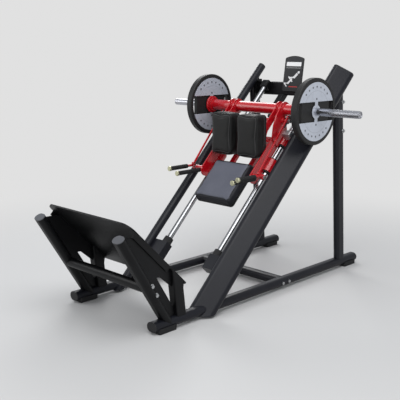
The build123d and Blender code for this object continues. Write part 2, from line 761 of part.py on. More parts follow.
# ---------------------------------------------------------------- load bar, horns and weight plates
with BuildPart() as load_bar:
    with BuildSketch(across(-LOAD_BAR_END, LOAD_BAR_Y, LOAD_BAR_Z)):
        Circle(LOAD_BAR_DIAMETER / 2)
        Circle(LOAD_BAR_DIAMETER / 2 - HORN_WALL, mode=Mode.SUBTRACT)
    extrude(amount=2 * LOAD_BAR_END)
save(load_bar, "load_bar")

with BuildPart() as collars:
    for side, _ in SIDES:
        with BuildSketch(side_face(side, LOAD_BAR_END, (LOAD_BAR_Y, LOAD_BAR_Z))):
            Circle(COLLAR_DIAMETER / 2)
            Circle(HORN_DIAMETER / 2, mode=Mode.SUBTRACT)
        extrude(amount=COLLAR_THICKNESS)
        with BuildSketch(side_face(side, LOAD_BAR_END, (LOAD_BAR_Y, LOAD_BAR_Z))):
            Circle(COLLAR_BOSS_DIAMETER / 2)
            Circle(LOAD_BAR_DIAMETER / 2, mode=Mode.SUBTRACT)
        extrude(amount=-COLLAR_BOSS)
    rims = collars.edges().filter_by(GeomType.CIRCLE)
    chamfer(rims.filter_by(lambda rim: rim.radius > COLLAR_DIAMETER / 2 - 1), COLLAR_CHAMFER)
save(collars, "load_bar_collars")

# A shallow groove on each horn, just outside the plate that is on it, starts the free stretch.
HORN_GROOVE_X = DISC_INNER_X + DISC_THICKNESS + HORN_GROOVE_GAP
for side, hand in SIDES:
    with BuildPart() as horn:
        with BuildSketch(side_face(side, LOAD_BAR_PLUG, (LOAD_BAR_Y, LOAD_BAR_Z))):
            Circle(LOAD_BAR_DIAMETER / 2 - HORN_WALL)
        extrude(amount=LOAD_BAR_END - LOAD_BAR_PLUG)
        with BuildSketch(side_face(side, LOAD_BAR_END, (LOAD_BAR_Y, LOAD_BAR_Z))):
            Circle(HORN_DIAMETER / 2)
        extrude(amount=HORN_END - LOAD_BAR_END)
        with BuildSketch(side_face(side, HORN_GROOVE_X, (LOAD_BAR_Y, LOAD_BAR_Z))):
            Circle(HORN_DIAMETER / 2)
            Circle(HORN_DIAMETER / 2 - HORN_GROOVE_DEPTH, mode=Mode.SUBTRACT)
        extrude(amount=HORN_GROOVE_WIDTH, mode=Mode.SUBTRACT)
        with BuildSketch(side_face(side, LOAD_BAR_PLUG, (LOAD_BAR_Y, LOAD_BAR_Z))):
            Circle(HORN_DIAMETER / 2 - HORN_WALL)
        extrude(amount=HORN_END - LOAD_BAR_PLUG, mode=Mode.SUBTRACT)
    save(horn, f"{hand}_horn")

with BuildPart() as horn_caps:
    for side, _ in SIDES:
        with BuildSketch(side_face(side, HORN_END, (LOAD_BAR_Y, LOAD_BAR_Z))):
            Circle(HORN_DIAMETER / 2 - HORN_CAP_RELIEF)
        extrude(amount=HORN_CAP)
        with BuildSketch(side_face(side, HORN_END + HORN_CAP, (LOAD_BAR_Y, LOAD_BAR_Z))):
            Circle(HORN_DIAMETER / 2 - HORN_WALL)
        extrude(amount=-HORN_CAP / 2, mode=Mode.SUBTRACT)
        with BuildSketch(side_face(side, HORN_END + HORN_CAP / 2, (LOAD_BAR_Y, LOAD_BAR_Z))):
            Circle(BOLT_HEAD_DIAMETER / 2)
        extrude(amount=HORN_CAP / 2 - HORN_CAP_RELIEF)
        with BuildSketch(side_face(side, HORN_END, (LOAD_BAR_Y, LOAD_BAR_Z))):
            Circle(HORN_DIAMETER / 2 - HORN_WALL - CAP_CLEARANCE)
        extrude(amount=-2 * CAP_SPIGOT)
save(horn_caps, "horn_caps")


def disc_face_outline():
    """Cover plate of a weight plate: two round segments joined by a strap with the hub ring."""
    Circle(DISC_FACE_RADIUS)
    Rectangle(2 * DISC_FACE_RADIUS, 2 * DISC_BAND, mode=Mode.SUBTRACT)
    Rectangle(DISC_LINK, 2 * DISC_BAND)
    Circle(DISC_HUB_RADIUS)
    Circle(HORN_DIAMETER / 2 + RUNNING_CLEARANCE, mode=Mode.SUBTRACT)


def disc_sides(side):
    """Planes of a weight plate's two faces, each looking into the plate."""
    centre = (LOAD_BAR_Y, LOAD_BAR_Z)
    inner = side_face(side, DISC_INNER_X, centre)
    outer = side_face(-side, -DISC_INNER_X - DISC_THICKNESS, centre)
    return (inner, outer)


for side, hand in SIDES:
    with BuildPart() as disc:
        with BuildSketch(disc_sides(side)[0]):
            Circle(DISC_DIAMETER / 2)
            Circle(HORN_DIAMETER / 2 + RUNNING_CLEARANCE, mode=Mode.SUBTRACT)
        extrude(amount=DISC_THICKNESS)
        rims = disc.edges().filter_by(GeomType.CIRCLE)
        chamfer(rims.filter_by(lambda rim: rim.radius > DISC_FACE_RADIUS), DISC_CHAMFER)
        for plane in disc_sides(side):
            with BuildSketch(plane):
                Circle(DISC_FACE_RADIUS)
                Circle(HORN_DIAMETER / 2 + RUNNING_CLEARANCE, mode=Mode.SUBTRACT)
            extrude(amount=DISC_FACE_THICKNESS, mode=Mode.SUBTRACT)
            with BuildSketch(plane):
                Circle(DISC_FACE_RADIUS)
                Rectangle(2 * DISC_DIAMETER, 2 * DISC_BAND, mode=Mode.INTERSECT)
                Circle(DISC_HUB_RADIUS, mode=Mode.SUBTRACT)
                Rectangle(DISC_LINK, 2 * DISC_BAND, mode=Mode.SUBTRACT)
            extrude(amount=DISC_BAND_DEPTH, mode=Mode.SUBTRACT)
        with BuildSketch(disc_sides(side)[0]):
            Circle(DISC_WINDOW_RADIUS)
            Rectangle(2 * DISC_DIAMETER, 2 * DISC_BAND, mode=Mode.INTERSECT)
            Rectangle(2 * DISC_WINDOW_START, 2 * DISC_DIAMETER, mode=Mode.SUBTRACT)
        extrude(amount=DISC_THICKNESS, mode=Mode.SUBTRACT)
    save(disc, f"{hand}_weight_plate")

    with BuildPart() as disc_covers:
        for plane in disc_sides(side):
            with BuildSketch(plane):
                disc_face_outline()
            extrude(amount=DISC_FACE_THICKNESS)
    save(disc_covers, f"{hand}_weight_plate_covers")

# ---------------------------------------------------------------- bearings on the guide rods
HOUSING_STARTS = (UPPER_HOUSING, LOWER_HOUSING)


def housing_bars(side):
    """Solid bars around one side's bearing housings and their seals, to cope what meets them."""
    with BuildPart() as bars:
        for start in HOUSING_STARTS:
            with BuildSketch(slope_at(side * ROD_X, ROD_OFF_SLOPE, start - SEAL_THICKNESS)):
                Circle(HOUSING_DIAMETER / 2)
            extrude(amount=HOUSING_LENGTH + 2 * SEAL_THICKNESS)
    return bars.part


HOUSING_BARS = {side: housing_bars(side) for side, _ in SIDES}

with BuildPart() as housings:
    for side, _ in SIDES:
        for start in HOUSING_STARTS:
            with BuildSketch(slope_at(side * ROD_X, ROD_OFF_SLOPE, start)):
                Circle(HOUSING_DIAMETER / 2)
                Circle(BUSH_DIAMETER / 2, mode=Mode.SUBTRACT)
            extrude(amount=HOUSING_LENGTH)
save(housings, "bearing_housings")

with BuildPart() as bushes:
    for side, _ in SIDES:
        for start in HOUSING_STARTS:
            with BuildSketch(slope_at(side * ROD_X, ROD_OFF_SLOPE, start)):
                Circle(BUSH_DIAMETER / 2)
                Circle(ROD_DIAMETER / 2 + RUNNING_CLEARANCE, mode=Mode.SUBTRACT)
            extrude(amount=HOUSING_LENGTH)
save(bushes, "bearing_bushes")

with BuildPart() as seals:
    for side, _ in SIDES:
        for start in HOUSING_STARTS:
            for face in (start - SEAL_THICKNESS, start + HOUSING_LENGTH):
                with BuildSketch(slope_at(side * ROD_X, ROD_OFF_SLOPE, face)):
                    Circle(SEAL_DIAMETER / 2)
                    Circle(ROD_DIAMETER / 2 + 2 * RUNNING_CLEARANCE, mode=Mode.SUBTRACT)
                extrude(amount=SEAL_THICKNESS)
save(seals, "bearing_seals")

# ---------------------------------------------------------------- carriage
HANDLE_DOWN = SLOPE.to_local_coords(Vector(0, HANDLE_Y, HANDLE_Z))


def plate_at(x, thickness):
    """Plane for a plate of the sled that is centred on x, with x down the slope and y off it."""
    return slope_side(x + thickness / 2)


with BuildPart() as cheeks:
    for side, _ in SIDES:
        with BuildSketch(plate_at(side * CHEEK_X, CHEEK_THICKNESS)):
            with Locations(((CHEEK_START + CHEEK_END) / 2, (CHEEK_LOW + CHEEK_HIGH) / 2)):
                Rectangle(CHEEK_END - CHEEK_START, CHEEK_HIGH - CHEEK_LOW)
            with Locations((CHEEK_END, (CHEEK_LOW + CHEEK_HIGH) / 2)):
                Circle((CHEEK_HIGH - CHEEK_LOW) / 2)
        extrude(amount=CHEEK_THICKNESS)
        add(HOUSING_BARS[side], mode=Mode.SUBTRACT)
save(cheeks, "cheek_plates")

with BuildPart() as arms:
    for side, _ in SIDES:
        with BuildSketch(plate_at(side * ARM_X, ARM_THICKNESS)):
            with BuildLine():
                Polyline(*ARM_OUTLINE, close=True)
            make_face()
            fillet(vertices(), ARM_CORNER)
            Circle(ARM_RING_DIAMETER / 2)
            Circle(LOAD_BAR_DIAMETER / 2, mode=Mode.SUBTRACT)
            with Locations((LOCK_DOWN_SLOPE, LOCK_OFF_SLOPE)):
                Circle(LOCK_DIAMETER / 2 + RUNNING_CLEARANCE, mode=Mode.SUBTRACT)
        extrude(amount=ARM_THICKNESS)
        boss_x = side * (ARM_X + (ARM_THICKNESS + BEARING_BOSS_LENGTH) / 2)
        with BuildSketch(plate_at(boss_x, BEARING_BOSS_LENGTH)):
            with Locations((LOCK_DOWN_SLOPE, LOCK_OFF_SLOPE)):
                Circle(BEARING_BOSS_DIAMETER / 2)
                Circle(LOCK_DIAMETER / 2 + RUNNING_CLEARANCE, mode=Mode.SUBTRACT)
        extrude(amount=BEARING_BOSS_LENGTH)
        add(HOUSING_BARS[side], mode=Mode.SUBTRACT)
save(arms, "carriage_arms")

with BuildPart() as carriage_plates:
    for start, end, reach in CARRIAGE_PLATES:
        with BuildSketch(slope_at(0, CARRIAGE_PLATE_TOP - CARRIAGE_PLATE_THICKNESS / 2, start)):
            Rectangle(2 * reach, CARRIAGE_PLATE_THICKNESS)
        extrude(amount=end - start)
    for side, _ in SIDES:
        add(HOUSING_BARS[side], mode=Mode.SUBTRACT)
save(carriage_plates, "carriage_cross_plates")

with BuildPart() as carriage_tie:
    with BuildSketch(slope_at(0, (CARRIAGE_TIE_HIGH + CARRIAGE_TIE_LOW) / 2, CARRIAGE_TIE_START)):
        RectangleRounded(2 * ROD_X, CARRIAGE_TIE_HIGH - CARRIAGE_TIE_LOW, CARRIAGE_TIE_CORNER)
    extrude(amount=CARRIAGE_TIE_END - CARRIAGE_TIE_START)
    for side, _ in SIDES:
        lug_x = side * (ROD_X - TIE_LUG_INWARD)
        with BuildSketch(slope_at(lug_x, ROD_OFF_SLOPE - TIE_LUG_DOWN, UPPER_HOUSING)):
            Rectangle(TIE_LUG_WIDTH, TIE_LUG_HEIGHT)
        extrude(amount=CARRIAGE_TIE_END - UPPER_HOUSING)
        add(HOUSING_BARS[side], mode=Mode.SUBTRACT)
save(carriage_tie, "carriage_tie_bar")

with BuildPart() as pad_rails:
    for side, _ in SIDES:
        rail_off = CARRIAGE_PLATE_TOP - CARRIAGE_PLATE_THICKNESS - PAD_RAIL_HEIGHT / 2
        with BuildSketch(slope_at(side * PAD_RAIL_X, rail_off, PAD_RAIL_START)):
            RectangleRounded(PAD_RAIL_WIDTH, PAD_RAIL_HEIGHT, PAD_RAIL_CORNER)
        extrude(amount=PAD_RAIL_END - PAD_RAIL_START)
save(pad_rails, "pad_rails")

# ---------------------------------------------------------------- pads, boards and pad arms
BOARD_BACK_Y = SHOULDER_PAD_FRONT_Y + SHOULDER_PAD_THICKNESS + SOFT_GAP + BOARD_THICKNESS
BOARD_REACH = (LOAD_BAR_Y - BOARD_BACK_Y) * sqrt(2)

with BuildPart() as pad_arms:
    for side, _ in SIDES:
        with BuildSketch(plate_at(side * PAD_ARM_X, PAD_ARM_THICKNESS)):
            with BuildLine():
                Polyline(
                    (0, PAD_ARM_HIGH),
                    (BOARD_REACH - PAD_ARM_HIGH, PAD_ARM_HIGH),
                    (BOARD_REACH - PAD_ARM_FOOT_LOW, PAD_ARM_FOOT_LOW),
                    (BOARD_REACH - PAD_ARM_HIGH, PAD_ARM_LOW),
                    (0, PAD_ARM_LOW),
                    close=True,
                )
            make_face()
            Circle(ARM_RING_DIAMETER / 2)
            Circle(LOAD_BAR_DIAMETER / 2, mode=Mode.SUBTRACT)
        extrude(amount=PAD_ARM_THICKNESS)
save(pad_arms, "pad_arms")

BOARD_SIZE = (2 * (BACK_PAD_HALF_WIDTH - BOARD_INSET), BACK_PAD_LENGTH - 2 * BOARD_INSET)
BACK_PAD_MIDDLE = BACK_PAD_START + BACK_PAD_LENGTH / 2
BACK_BOARD = Plane(
    origin=SLOPE.from_local_coords(Vector(0, CARRIAGE_PLATE_TOP, BACK_PAD_MIDDLE)),
    x_dir=(1, 0, 0),
    z_dir=SLOPE.y_dir,
)
with BuildPart() as back_board:
    with BuildSketch(BACK_BOARD):
        RectangleRounded(*BOARD_SIZE, BACK_PAD_CORNER - BOARD_INSET)
    extrude(amount=BOARD_THICKNESS)
save(back_board, "back_pad_board")

with BuildPart() as back_pad:
    with BuildSketch(BACK_BOARD.offset(BOARD_THICKNESS + SOFT_GAP)):
        RectangleRounded(2 * BACK_PAD_HALF_WIDTH, BACK_PAD_LENGTH, BACK_PAD_CORNER)
    extrude(amount=BACK_PAD_THICKNESS)
    fillet(back_pad.faces().sort_by(Axis((0, 0, 0), SLOPE.y_dir))[-1].edges(), PAD_EDGE_RADIUS)
save(back_pad, "back_pad")

PAD_MIDDLE_X = (SHOULDER_PAD_INNER + SHOULDER_PAD_OUTER) / 2
PAD_MIDDLE_Z = (SHOULDER_PAD_LOW_Z + SHOULDER_PAD_HIGH_Z) / 2
PAD_SPAN = (SHOULDER_PAD_OUTER - SHOULDER_PAD_INNER, SHOULDER_PAD_HIGH_Z - SHOULDER_PAD_LOW_Z)
SHOULDER_BOARDS = {
    side: Plane(origin=(side * PAD_MIDDLE_X, BOARD_BACK_Y, PAD_MIDDLE_Z), x_dir=(1, 0, 0), z_dir=(0, -1, 0))
    for side, _ in SIDES
}
with BuildPart() as shoulder_boards:
    for side, _ in SIDES:
        with BuildSketch(SHOULDER_BOARDS[side]):
            inset = 2 * BOARD_INSET
            RectangleRounded(PAD_SPAN[0] - inset, PAD_SPAN[1] - inset, SHOULDER_PAD_CORNER - BOARD_INSET)
        extrude(amount=BOARD_THICKNESS)
save(shoulder_boards, "shoulder_pad_boards")

for side, hand in SIDES:
    with BuildPart() as shoulder_pad:
        with BuildSketch(SHOULDER_BOARDS[side].offset(BOARD_THICKNESS + SOFT_GAP)):
            RectangleRounded(*PAD_SPAN, SHOULDER_PAD_CORNER)
        extrude(amount=SHOULDER_PAD_THICKNESS)
        fillet(shoulder_pad.faces().sort_by(Axis.Y)[0].edges(), PAD_EDGE_RADIUS)
    save(shoulder_pad, f"{hand}_shoulder_pad")

# ---------------------------------------------------------------- handle tubes and fixed grips
CHEEK_OUTER = CHEEK_X + CHEEK_THICKNESS / 2
with BuildPart() as handle_tubes:
    for side, _ in SIDES:
        with BuildSketch(side_face(side, CHEEK_OUTER, (HANDLE_Y, HANDLE_Z))):
            Circle(HANDLE_TUBE_DIAMETER / 2)
        extrude(amount=HANDLE_TUBE_END - CHEEK_OUTER)
        with BuildSketch(side_face(side, HANDLE_TUBE_END, (HANDLE_Y, HANDLE_Z))):
            Circle(PIVOT_DIAMETER / 2)
        extrude(amount=PIVOT_END - HANDLE_TUBE_END)
        with BuildSketch(side_face(side, PIVOT_NUT_X, (HANDLE_Y, HANDLE_Z))):
            Circle(PIVOT_NUT_DIAMETER / 2)
        extrude(amount=PIVOT_END - PIVOT_NUT_X)
        add(HOUSING_BARS[side], mode=Mode.SUBTRACT)
save(handle_tubes, "handle_tubes")


def forward(x, y, z):
    """Plane that looks towards the foot plate end at a point."""
    return Plane(origin=(x, y, z), x_dir=(1, 0, 0), z_dir=(0, -1, 0))


def grip_sleeve(x, start, z, length):
    """Rubber sleeve of a handle, with shallow rings, around a steel stem."""
    with BuildPart() as sleeve:
        with BuildSketch(forward(x, start, z)):
            Circle(GRIP_DIAMETER / 2)
        extrude(amount=length)
        for ring in range(GRIP_RINGS):
            with BuildSketch(forward(x, start - (ring + 1) * length / (GRIP_RINGS + 1), z)):
                Circle(GRIP_DIAMETER / 2)
                Circle(GRIP_DIAMETER / 2 - GRIP_RING_DEPTH, mode=Mode.SUBTRACT)
            extrude(amount=GRIP_RING_WIDTH, mode=Mode.SUBTRACT)
        with BuildSketch(forward(x, start, z)):
            Circle(STEM_DIAMETER / 2)
        extrude(amount=length, mode=Mode.SUBTRACT)
    return sleeve.part


def grip_cap(x, end, z):
    """Metal knob on the end of a grip."""
    with BuildPart() as cap:
        with BuildSketch(forward(x, end, z)):
            Circle(GRIP_CAP_DIAMETER / 2)
        extrude(amount=GRIP_CAP_LENGTH)
        chamfer(cap.faces().sort_by(Axis.Y)[0].edges(), GRIP_CAP_CHAMFER)
    return cap.part


FIXED_Z = HANDLE_Z - FIXED_GRIP_DROP
FIXED_START_Y = HANDLE_Y - FIXED_GRIP_START
FIXED_END_Y = FIXED_START_Y - FIXED_GRIP_LENGTH
knobs = [grip_cap(side * FIXED_GRIP_X, FIXED_END_Y, FIXED_Z) for side, _ in SIDES]
with BuildPart() as fixed_stems:
    for side, _ in SIDES:
        with BuildSketch(forward(side * FIXED_GRIP_X, HANDLE_Y, FIXED_Z)):
            Circle(STEM_DIAMETER / 2)
        extrude(amount=HANDLE_Y - FIXED_END_Y)
        with BuildSketch(side_face(side, CHEEK_OUTER, (HANDLE_Y, HANDLE_Z))):
            Circle(HANDLE_TUBE_DIAMETER / 2)
        extrude(amount=HANDLE_TUBE_END - CHEEK_OUTER, mode=Mode.SUBTRACT)
    add(knobs)
save(fixed_stems, "fixed_grip_stems")

sleeves = [grip_sleeve(side * FIXED_GRIP_X, FIXED_START_Y, FIXED_Z, FIXED_GRIP_LENGTH) for side, _ in SIDES]
with BuildPart() as fixed_grips:
    add(sleeves)
save(fixed_grips, "fixed_grips")

# ---------------------------------------------------------------- lock levers
LEVER_Z = HANDLE_Z + LEVER_RISE
LEVER_START_Y = HANDLE_Y - LEVER_GRIP_START
LEVER_END_Y = LEVER_START_Y - LEVER_GRIP_LENGTH
LEVER_INNER = LEVER_X - LEVER_HUB_WIDTH / 2


def crank(side, x, down, off):
    """Crank plate that stands off the slope from a pivot, with the pin that holds the link's eye."""
    with BuildPart() as plate:
        with BuildSketch(plate_at(side * x, CRANK_THICKNESS)):
            with Locations((down, off + CRANK_RADIUS / 2)):
                SlotCenterToCenter(CRANK_RADIUS, CRANK_WIDTH, rotation=90)
        extrude(amount=CRANK_THICKNESS)
        with BuildSketch(plate_at(side * LINK_X, LINK_PIN_LENGTH)):
            with Locations((down, off + CRANK_RADIUS)):
                Circle(LINK_PIN_DIAMETER / 2)
        extrude(amount=LINK_PIN_LENGTH)
    return plate.part


for side, hand in SIDES:
    lever_crank = crank(side, LEVER_CRANK_X, HANDLE_DOWN.Z, HANDLE_DOWN.Y)
    knob = grip_cap(side * LEVER_X, LEVER_END_Y, LEVER_Z)
    with BuildPart() as lever:
        with BuildSketch(forward(side * LEVER_X, HANDLE_Y, LEVER_Z)):
            Circle(STEM_DIAMETER / 2)
        extrude(amount=HANDLE_Y - LEVER_END_Y)
        with BuildSketch(side_face(side, LEVER_INNER, (HANDLE_Y, HANDLE_Z))):
            Circle(LEVER_HUB_DIAMETER / 2)
        extrude(amount=LEVER_HUB_WIDTH)
        add(lever_crank)
        add(knob)
        with BuildSketch(side_face(side, LEVER_INNER, (HANDLE_Y, HANDLE_Z))):
            Circle(PIVOT_DIAMETER / 2 + RUNNING_CLEARANCE)
        extrude(amount=LEVER_HUB_WIDTH, mode=Mode.SUBTRACT)
    save(lever, f"{hand}_lever")

    sleeve = grip_sleeve(side * LEVER_X, LEVER_START_Y, LEVER_Z, LEVER_GRIP_LENGTH)
    with BuildPart() as lever_grip:
        add(sleeve)
    save(lever_grip, f"{hand}_lever_grip")


# ---------------------------------------------------------------- lock shaft and links
# The struts, cranks and nuts are clamped on the shaft: each is a solid of its own in the node.
cranks = [crank(side, LOCK_CRANK_X, LOCK_DOWN_SLOPE, LOCK_OFF_SLOPE) for side, _ in SIDES]
with BuildPart() as lock:
    add(cranks)
    for side, _ in SIDES:
        with BuildSketch(plate_at(side * LOCK_STRUT_X, LOCK_STRUT_THICKNESS)):
            with Locations((LOCK_DOWN_SLOPE, LOCK_OFF_SLOPE)):
                Circle(LOCK_HUB_DIAMETER / 2)
                with Locations(Location((0, 0, 0), (0, 0, LOCK_STRUT_RISE))):
                    with Locations((LOCK_STRUT_REACH / 2, 0)):
                        SlotCenterToCenter(LOCK_STRUT_REACH, LOCK_STRUT_WIDTH)
        extrude(amount=LOCK_STRUT_THICKNESS)
        with BuildSketch(plate_at(side * (LOCK_END + LOCK_NUT_HEIGHT / 2), LOCK_NUT_HEIGHT)):
            with Locations((LOCK_DOWN_SLOPE, LOCK_OFF_SLOPE)):
                RegularPolygon(radius=LOCK_NUT_DIAMETER / 2, side_count=6)
        extrude(amount=LOCK_NUT_HEIGHT)
    with BuildSketch(plate_at(0, 2 * LINK_X)):
        with Locations((LOCK_DOWN_SLOPE, LOCK_OFF_SLOPE)):
            Circle(LOCK_DIAMETER / 2 + RUNNING_CLEARANCE)
    extrude(amount=2 * LINK_X, mode=Mode.SUBTRACT)
    with BuildSketch(plate_at(0, 2 * LOCK_END)):
        with Locations((LOCK_DOWN_SLOPE, LOCK_OFF_SLOPE)):
            Circle(LOCK_DIAMETER / 2)
    extrude(amount=2 * LOCK_END)
save(lock, "lock_shaft")

LINK_TOP = (LOCK_DOWN_SLOPE, LOCK_OFF_SLOPE + CRANK_RADIUS)
LINK_FOOT = (HANDLE_DOWN.Z, HANDLE_DOWN.Y + CRANK_RADIUS)
LINK_LENGTH = sqrt((LINK_FOOT[0] - LINK_TOP[0]) ** 2 + (LINK_FOOT[1] - LINK_TOP[1]) ** 2)
LINK_ANGLE = degrees(atan2(LINK_FOOT[1] - LINK_TOP[1], LINK_FOOT[0] - LINK_TOP[0]))
for side, hand in SIDES:
    with BuildPart() as link:
        with BuildSketch(plate_at(side * LINK_X, LINK_THICKNESS)):
            with Locations(LINK_TOP, LINK_FOOT):
                Circle(LINK_EYE_DIAMETER / 2)
            middle = ((LINK_TOP[0] + LINK_FOOT[0]) / 2, (LINK_TOP[1] + LINK_FOOT[1]) / 2)
            with Locations(middle):
                Rectangle(LINK_LENGTH, LINK_BAR_WIDTH, rotation=LINK_ANGLE)
            with Locations(LINK_TOP, LINK_FOOT):
                Circle(LINK_PIN_DIAMETER / 2 + RUNNING_CLEARANCE, mode=Mode.SUBTRACT)
        extrude(amount=LINK_THICKNESS)
    save(link, f"{hand}_lock_link")
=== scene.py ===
"""Looks of a plate-loaded leg press: finishes, upholstery, weld beads, studio and camera.

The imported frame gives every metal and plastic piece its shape. This file dresses those pieces and
adds the upholstered pads, their seams, the weld beads and the printed placard.
"""

import json
import logging
import math
from dataclasses import dataclass, field
from enum import Enum
from functools import cache
from typing import Callable, Sequence

import bmesh
import bpy
from mathutils import Matrix, Vector
from mathutils.bvhtree import BVHTree

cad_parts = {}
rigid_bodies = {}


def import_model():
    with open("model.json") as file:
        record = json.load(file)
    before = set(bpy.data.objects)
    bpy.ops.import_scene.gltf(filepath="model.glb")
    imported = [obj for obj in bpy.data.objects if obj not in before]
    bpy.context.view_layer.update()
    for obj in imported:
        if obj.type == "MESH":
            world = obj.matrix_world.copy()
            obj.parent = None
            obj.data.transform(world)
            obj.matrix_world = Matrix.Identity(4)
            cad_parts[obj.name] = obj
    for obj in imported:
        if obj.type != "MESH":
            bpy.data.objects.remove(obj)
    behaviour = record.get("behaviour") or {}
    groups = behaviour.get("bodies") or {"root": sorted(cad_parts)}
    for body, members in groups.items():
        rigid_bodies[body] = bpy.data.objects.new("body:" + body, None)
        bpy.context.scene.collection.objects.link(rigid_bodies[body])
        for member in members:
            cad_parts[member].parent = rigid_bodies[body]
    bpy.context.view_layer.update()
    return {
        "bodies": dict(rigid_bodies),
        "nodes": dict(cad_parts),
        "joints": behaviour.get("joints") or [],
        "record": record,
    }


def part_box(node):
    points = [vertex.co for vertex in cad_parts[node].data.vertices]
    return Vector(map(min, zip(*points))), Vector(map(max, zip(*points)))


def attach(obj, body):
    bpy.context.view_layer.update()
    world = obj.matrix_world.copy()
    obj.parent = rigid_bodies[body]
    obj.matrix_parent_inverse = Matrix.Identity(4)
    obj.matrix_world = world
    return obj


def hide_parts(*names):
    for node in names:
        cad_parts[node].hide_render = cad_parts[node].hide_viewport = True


LOG = logging.getLogger("leg_press")
Colour = tuple[float, float, float]
Inputs = dict[int | str, object]

SLOPE_DOWN = Vector((0.0, -1.0, -1.0)).normalized()
SLOPE_OUT = Vector((0.0, -1.0, 1.0)).normalized()
SIDES = {"left": -1.0, "right": 1.0}


# ---------------------------------------------------------------- shader maths
class Signal:
    """A grey value in a material's node tree that can be used in ordinary arithmetic."""

    def __init__(self, tree: "ShaderTree", socket: bpy.types.NodeSocket) -> None:
        """Wraps an output socket.

        Args:
            tree: The node tree that owns the socket.
            socket: The output socket that carries the value.
        """
        self.tree = tree
        self.socket = socket

    def _math(self, operation: str, first: "Signal | float", second: "Signal | float") -> "Signal":
        """Adds one maths node.

        Args:
            operation: Blender's name of the operation.
            first: Left operand.
            second: Right operand.

        Returns:
            The result as a new signal.
        """
        node = self.tree.add("ShaderNodeMath", {0: first, 1: second}, operation=operation)
        return Signal(self.tree, node.outputs[0])

    def __add__(self, other: "Signal | float") -> "Signal":
        """Sum of two values."""
        return self._math("ADD", self, other)

    def __radd__(self, other: float) -> "Signal":
        """Sum with a number on the left."""
        return self._math("ADD", other, self)

    def __sub__(self, other: "Signal | float") -> "Signal":
        """Difference of two values."""
        return self._math("SUBTRACT", self, other)

    def __rsub__(self, other: float) -> "Signal":
        """Difference with a number on the left."""
        return self._math("SUBTRACT", other, self)

    def __mul__(self, other: "Signal | float") -> "Signal":
        """Product of two values."""
        return self._math("MULTIPLY", self, other)

    def __rmul__(self, other: float) -> "Signal":
        """Product with a number on the left."""
        return self._math("MULTIPLY", other, self)

    def __truediv__(self, other: "Signal | float") -> "Signal":
        """Quotient of two values."""
        return self._math("DIVIDE", self, other)

    def __rtruediv__(self, other: float) -> "Signal":
        """Quotient with a number on the left."""
        return self._math("DIVIDE", other, self)

    def __pow__(self, other: "Signal | float") -> "Signal":
        """Power of two values."""
        return self._math("POWER", self, other)

    def __abs__(self) -> "Signal":
        """Size without the sign."""
        return self._math("ABSOLUTE", self, 0.0)

    def below(self, limit: float) -> "Signal":
        """One where the value is under a limit, and zero elsewhere."""
        return self._math("LESS_THAN", self, limit)

    def angle(self, across: "Signal") -> "Signal":
        """Angle of a point whose height is this value, measured from the across axis, in radians."""
        return self._math("ARCTAN2", self, across)

    def rounded(self) -> "Signal":
        """Nearest whole number."""
        return self._math("ROUND", self, 0.0)

    def step(self, low: float, high: float) -> "Signal":
        """Eases from zero at low to one at high.

        Args:
            low: Value that maps to zero.
            high: Value that maps to one.

        Returns:
            The eased signal.
        """
        inputs = {"Value": self, "From Min": low, "From Max": high}
        node = self.tree.add("ShaderNodeMapRange", inputs, interpolation_type="SMOOTHSTEP")
        return Signal(self.tree, node.outputs[0])


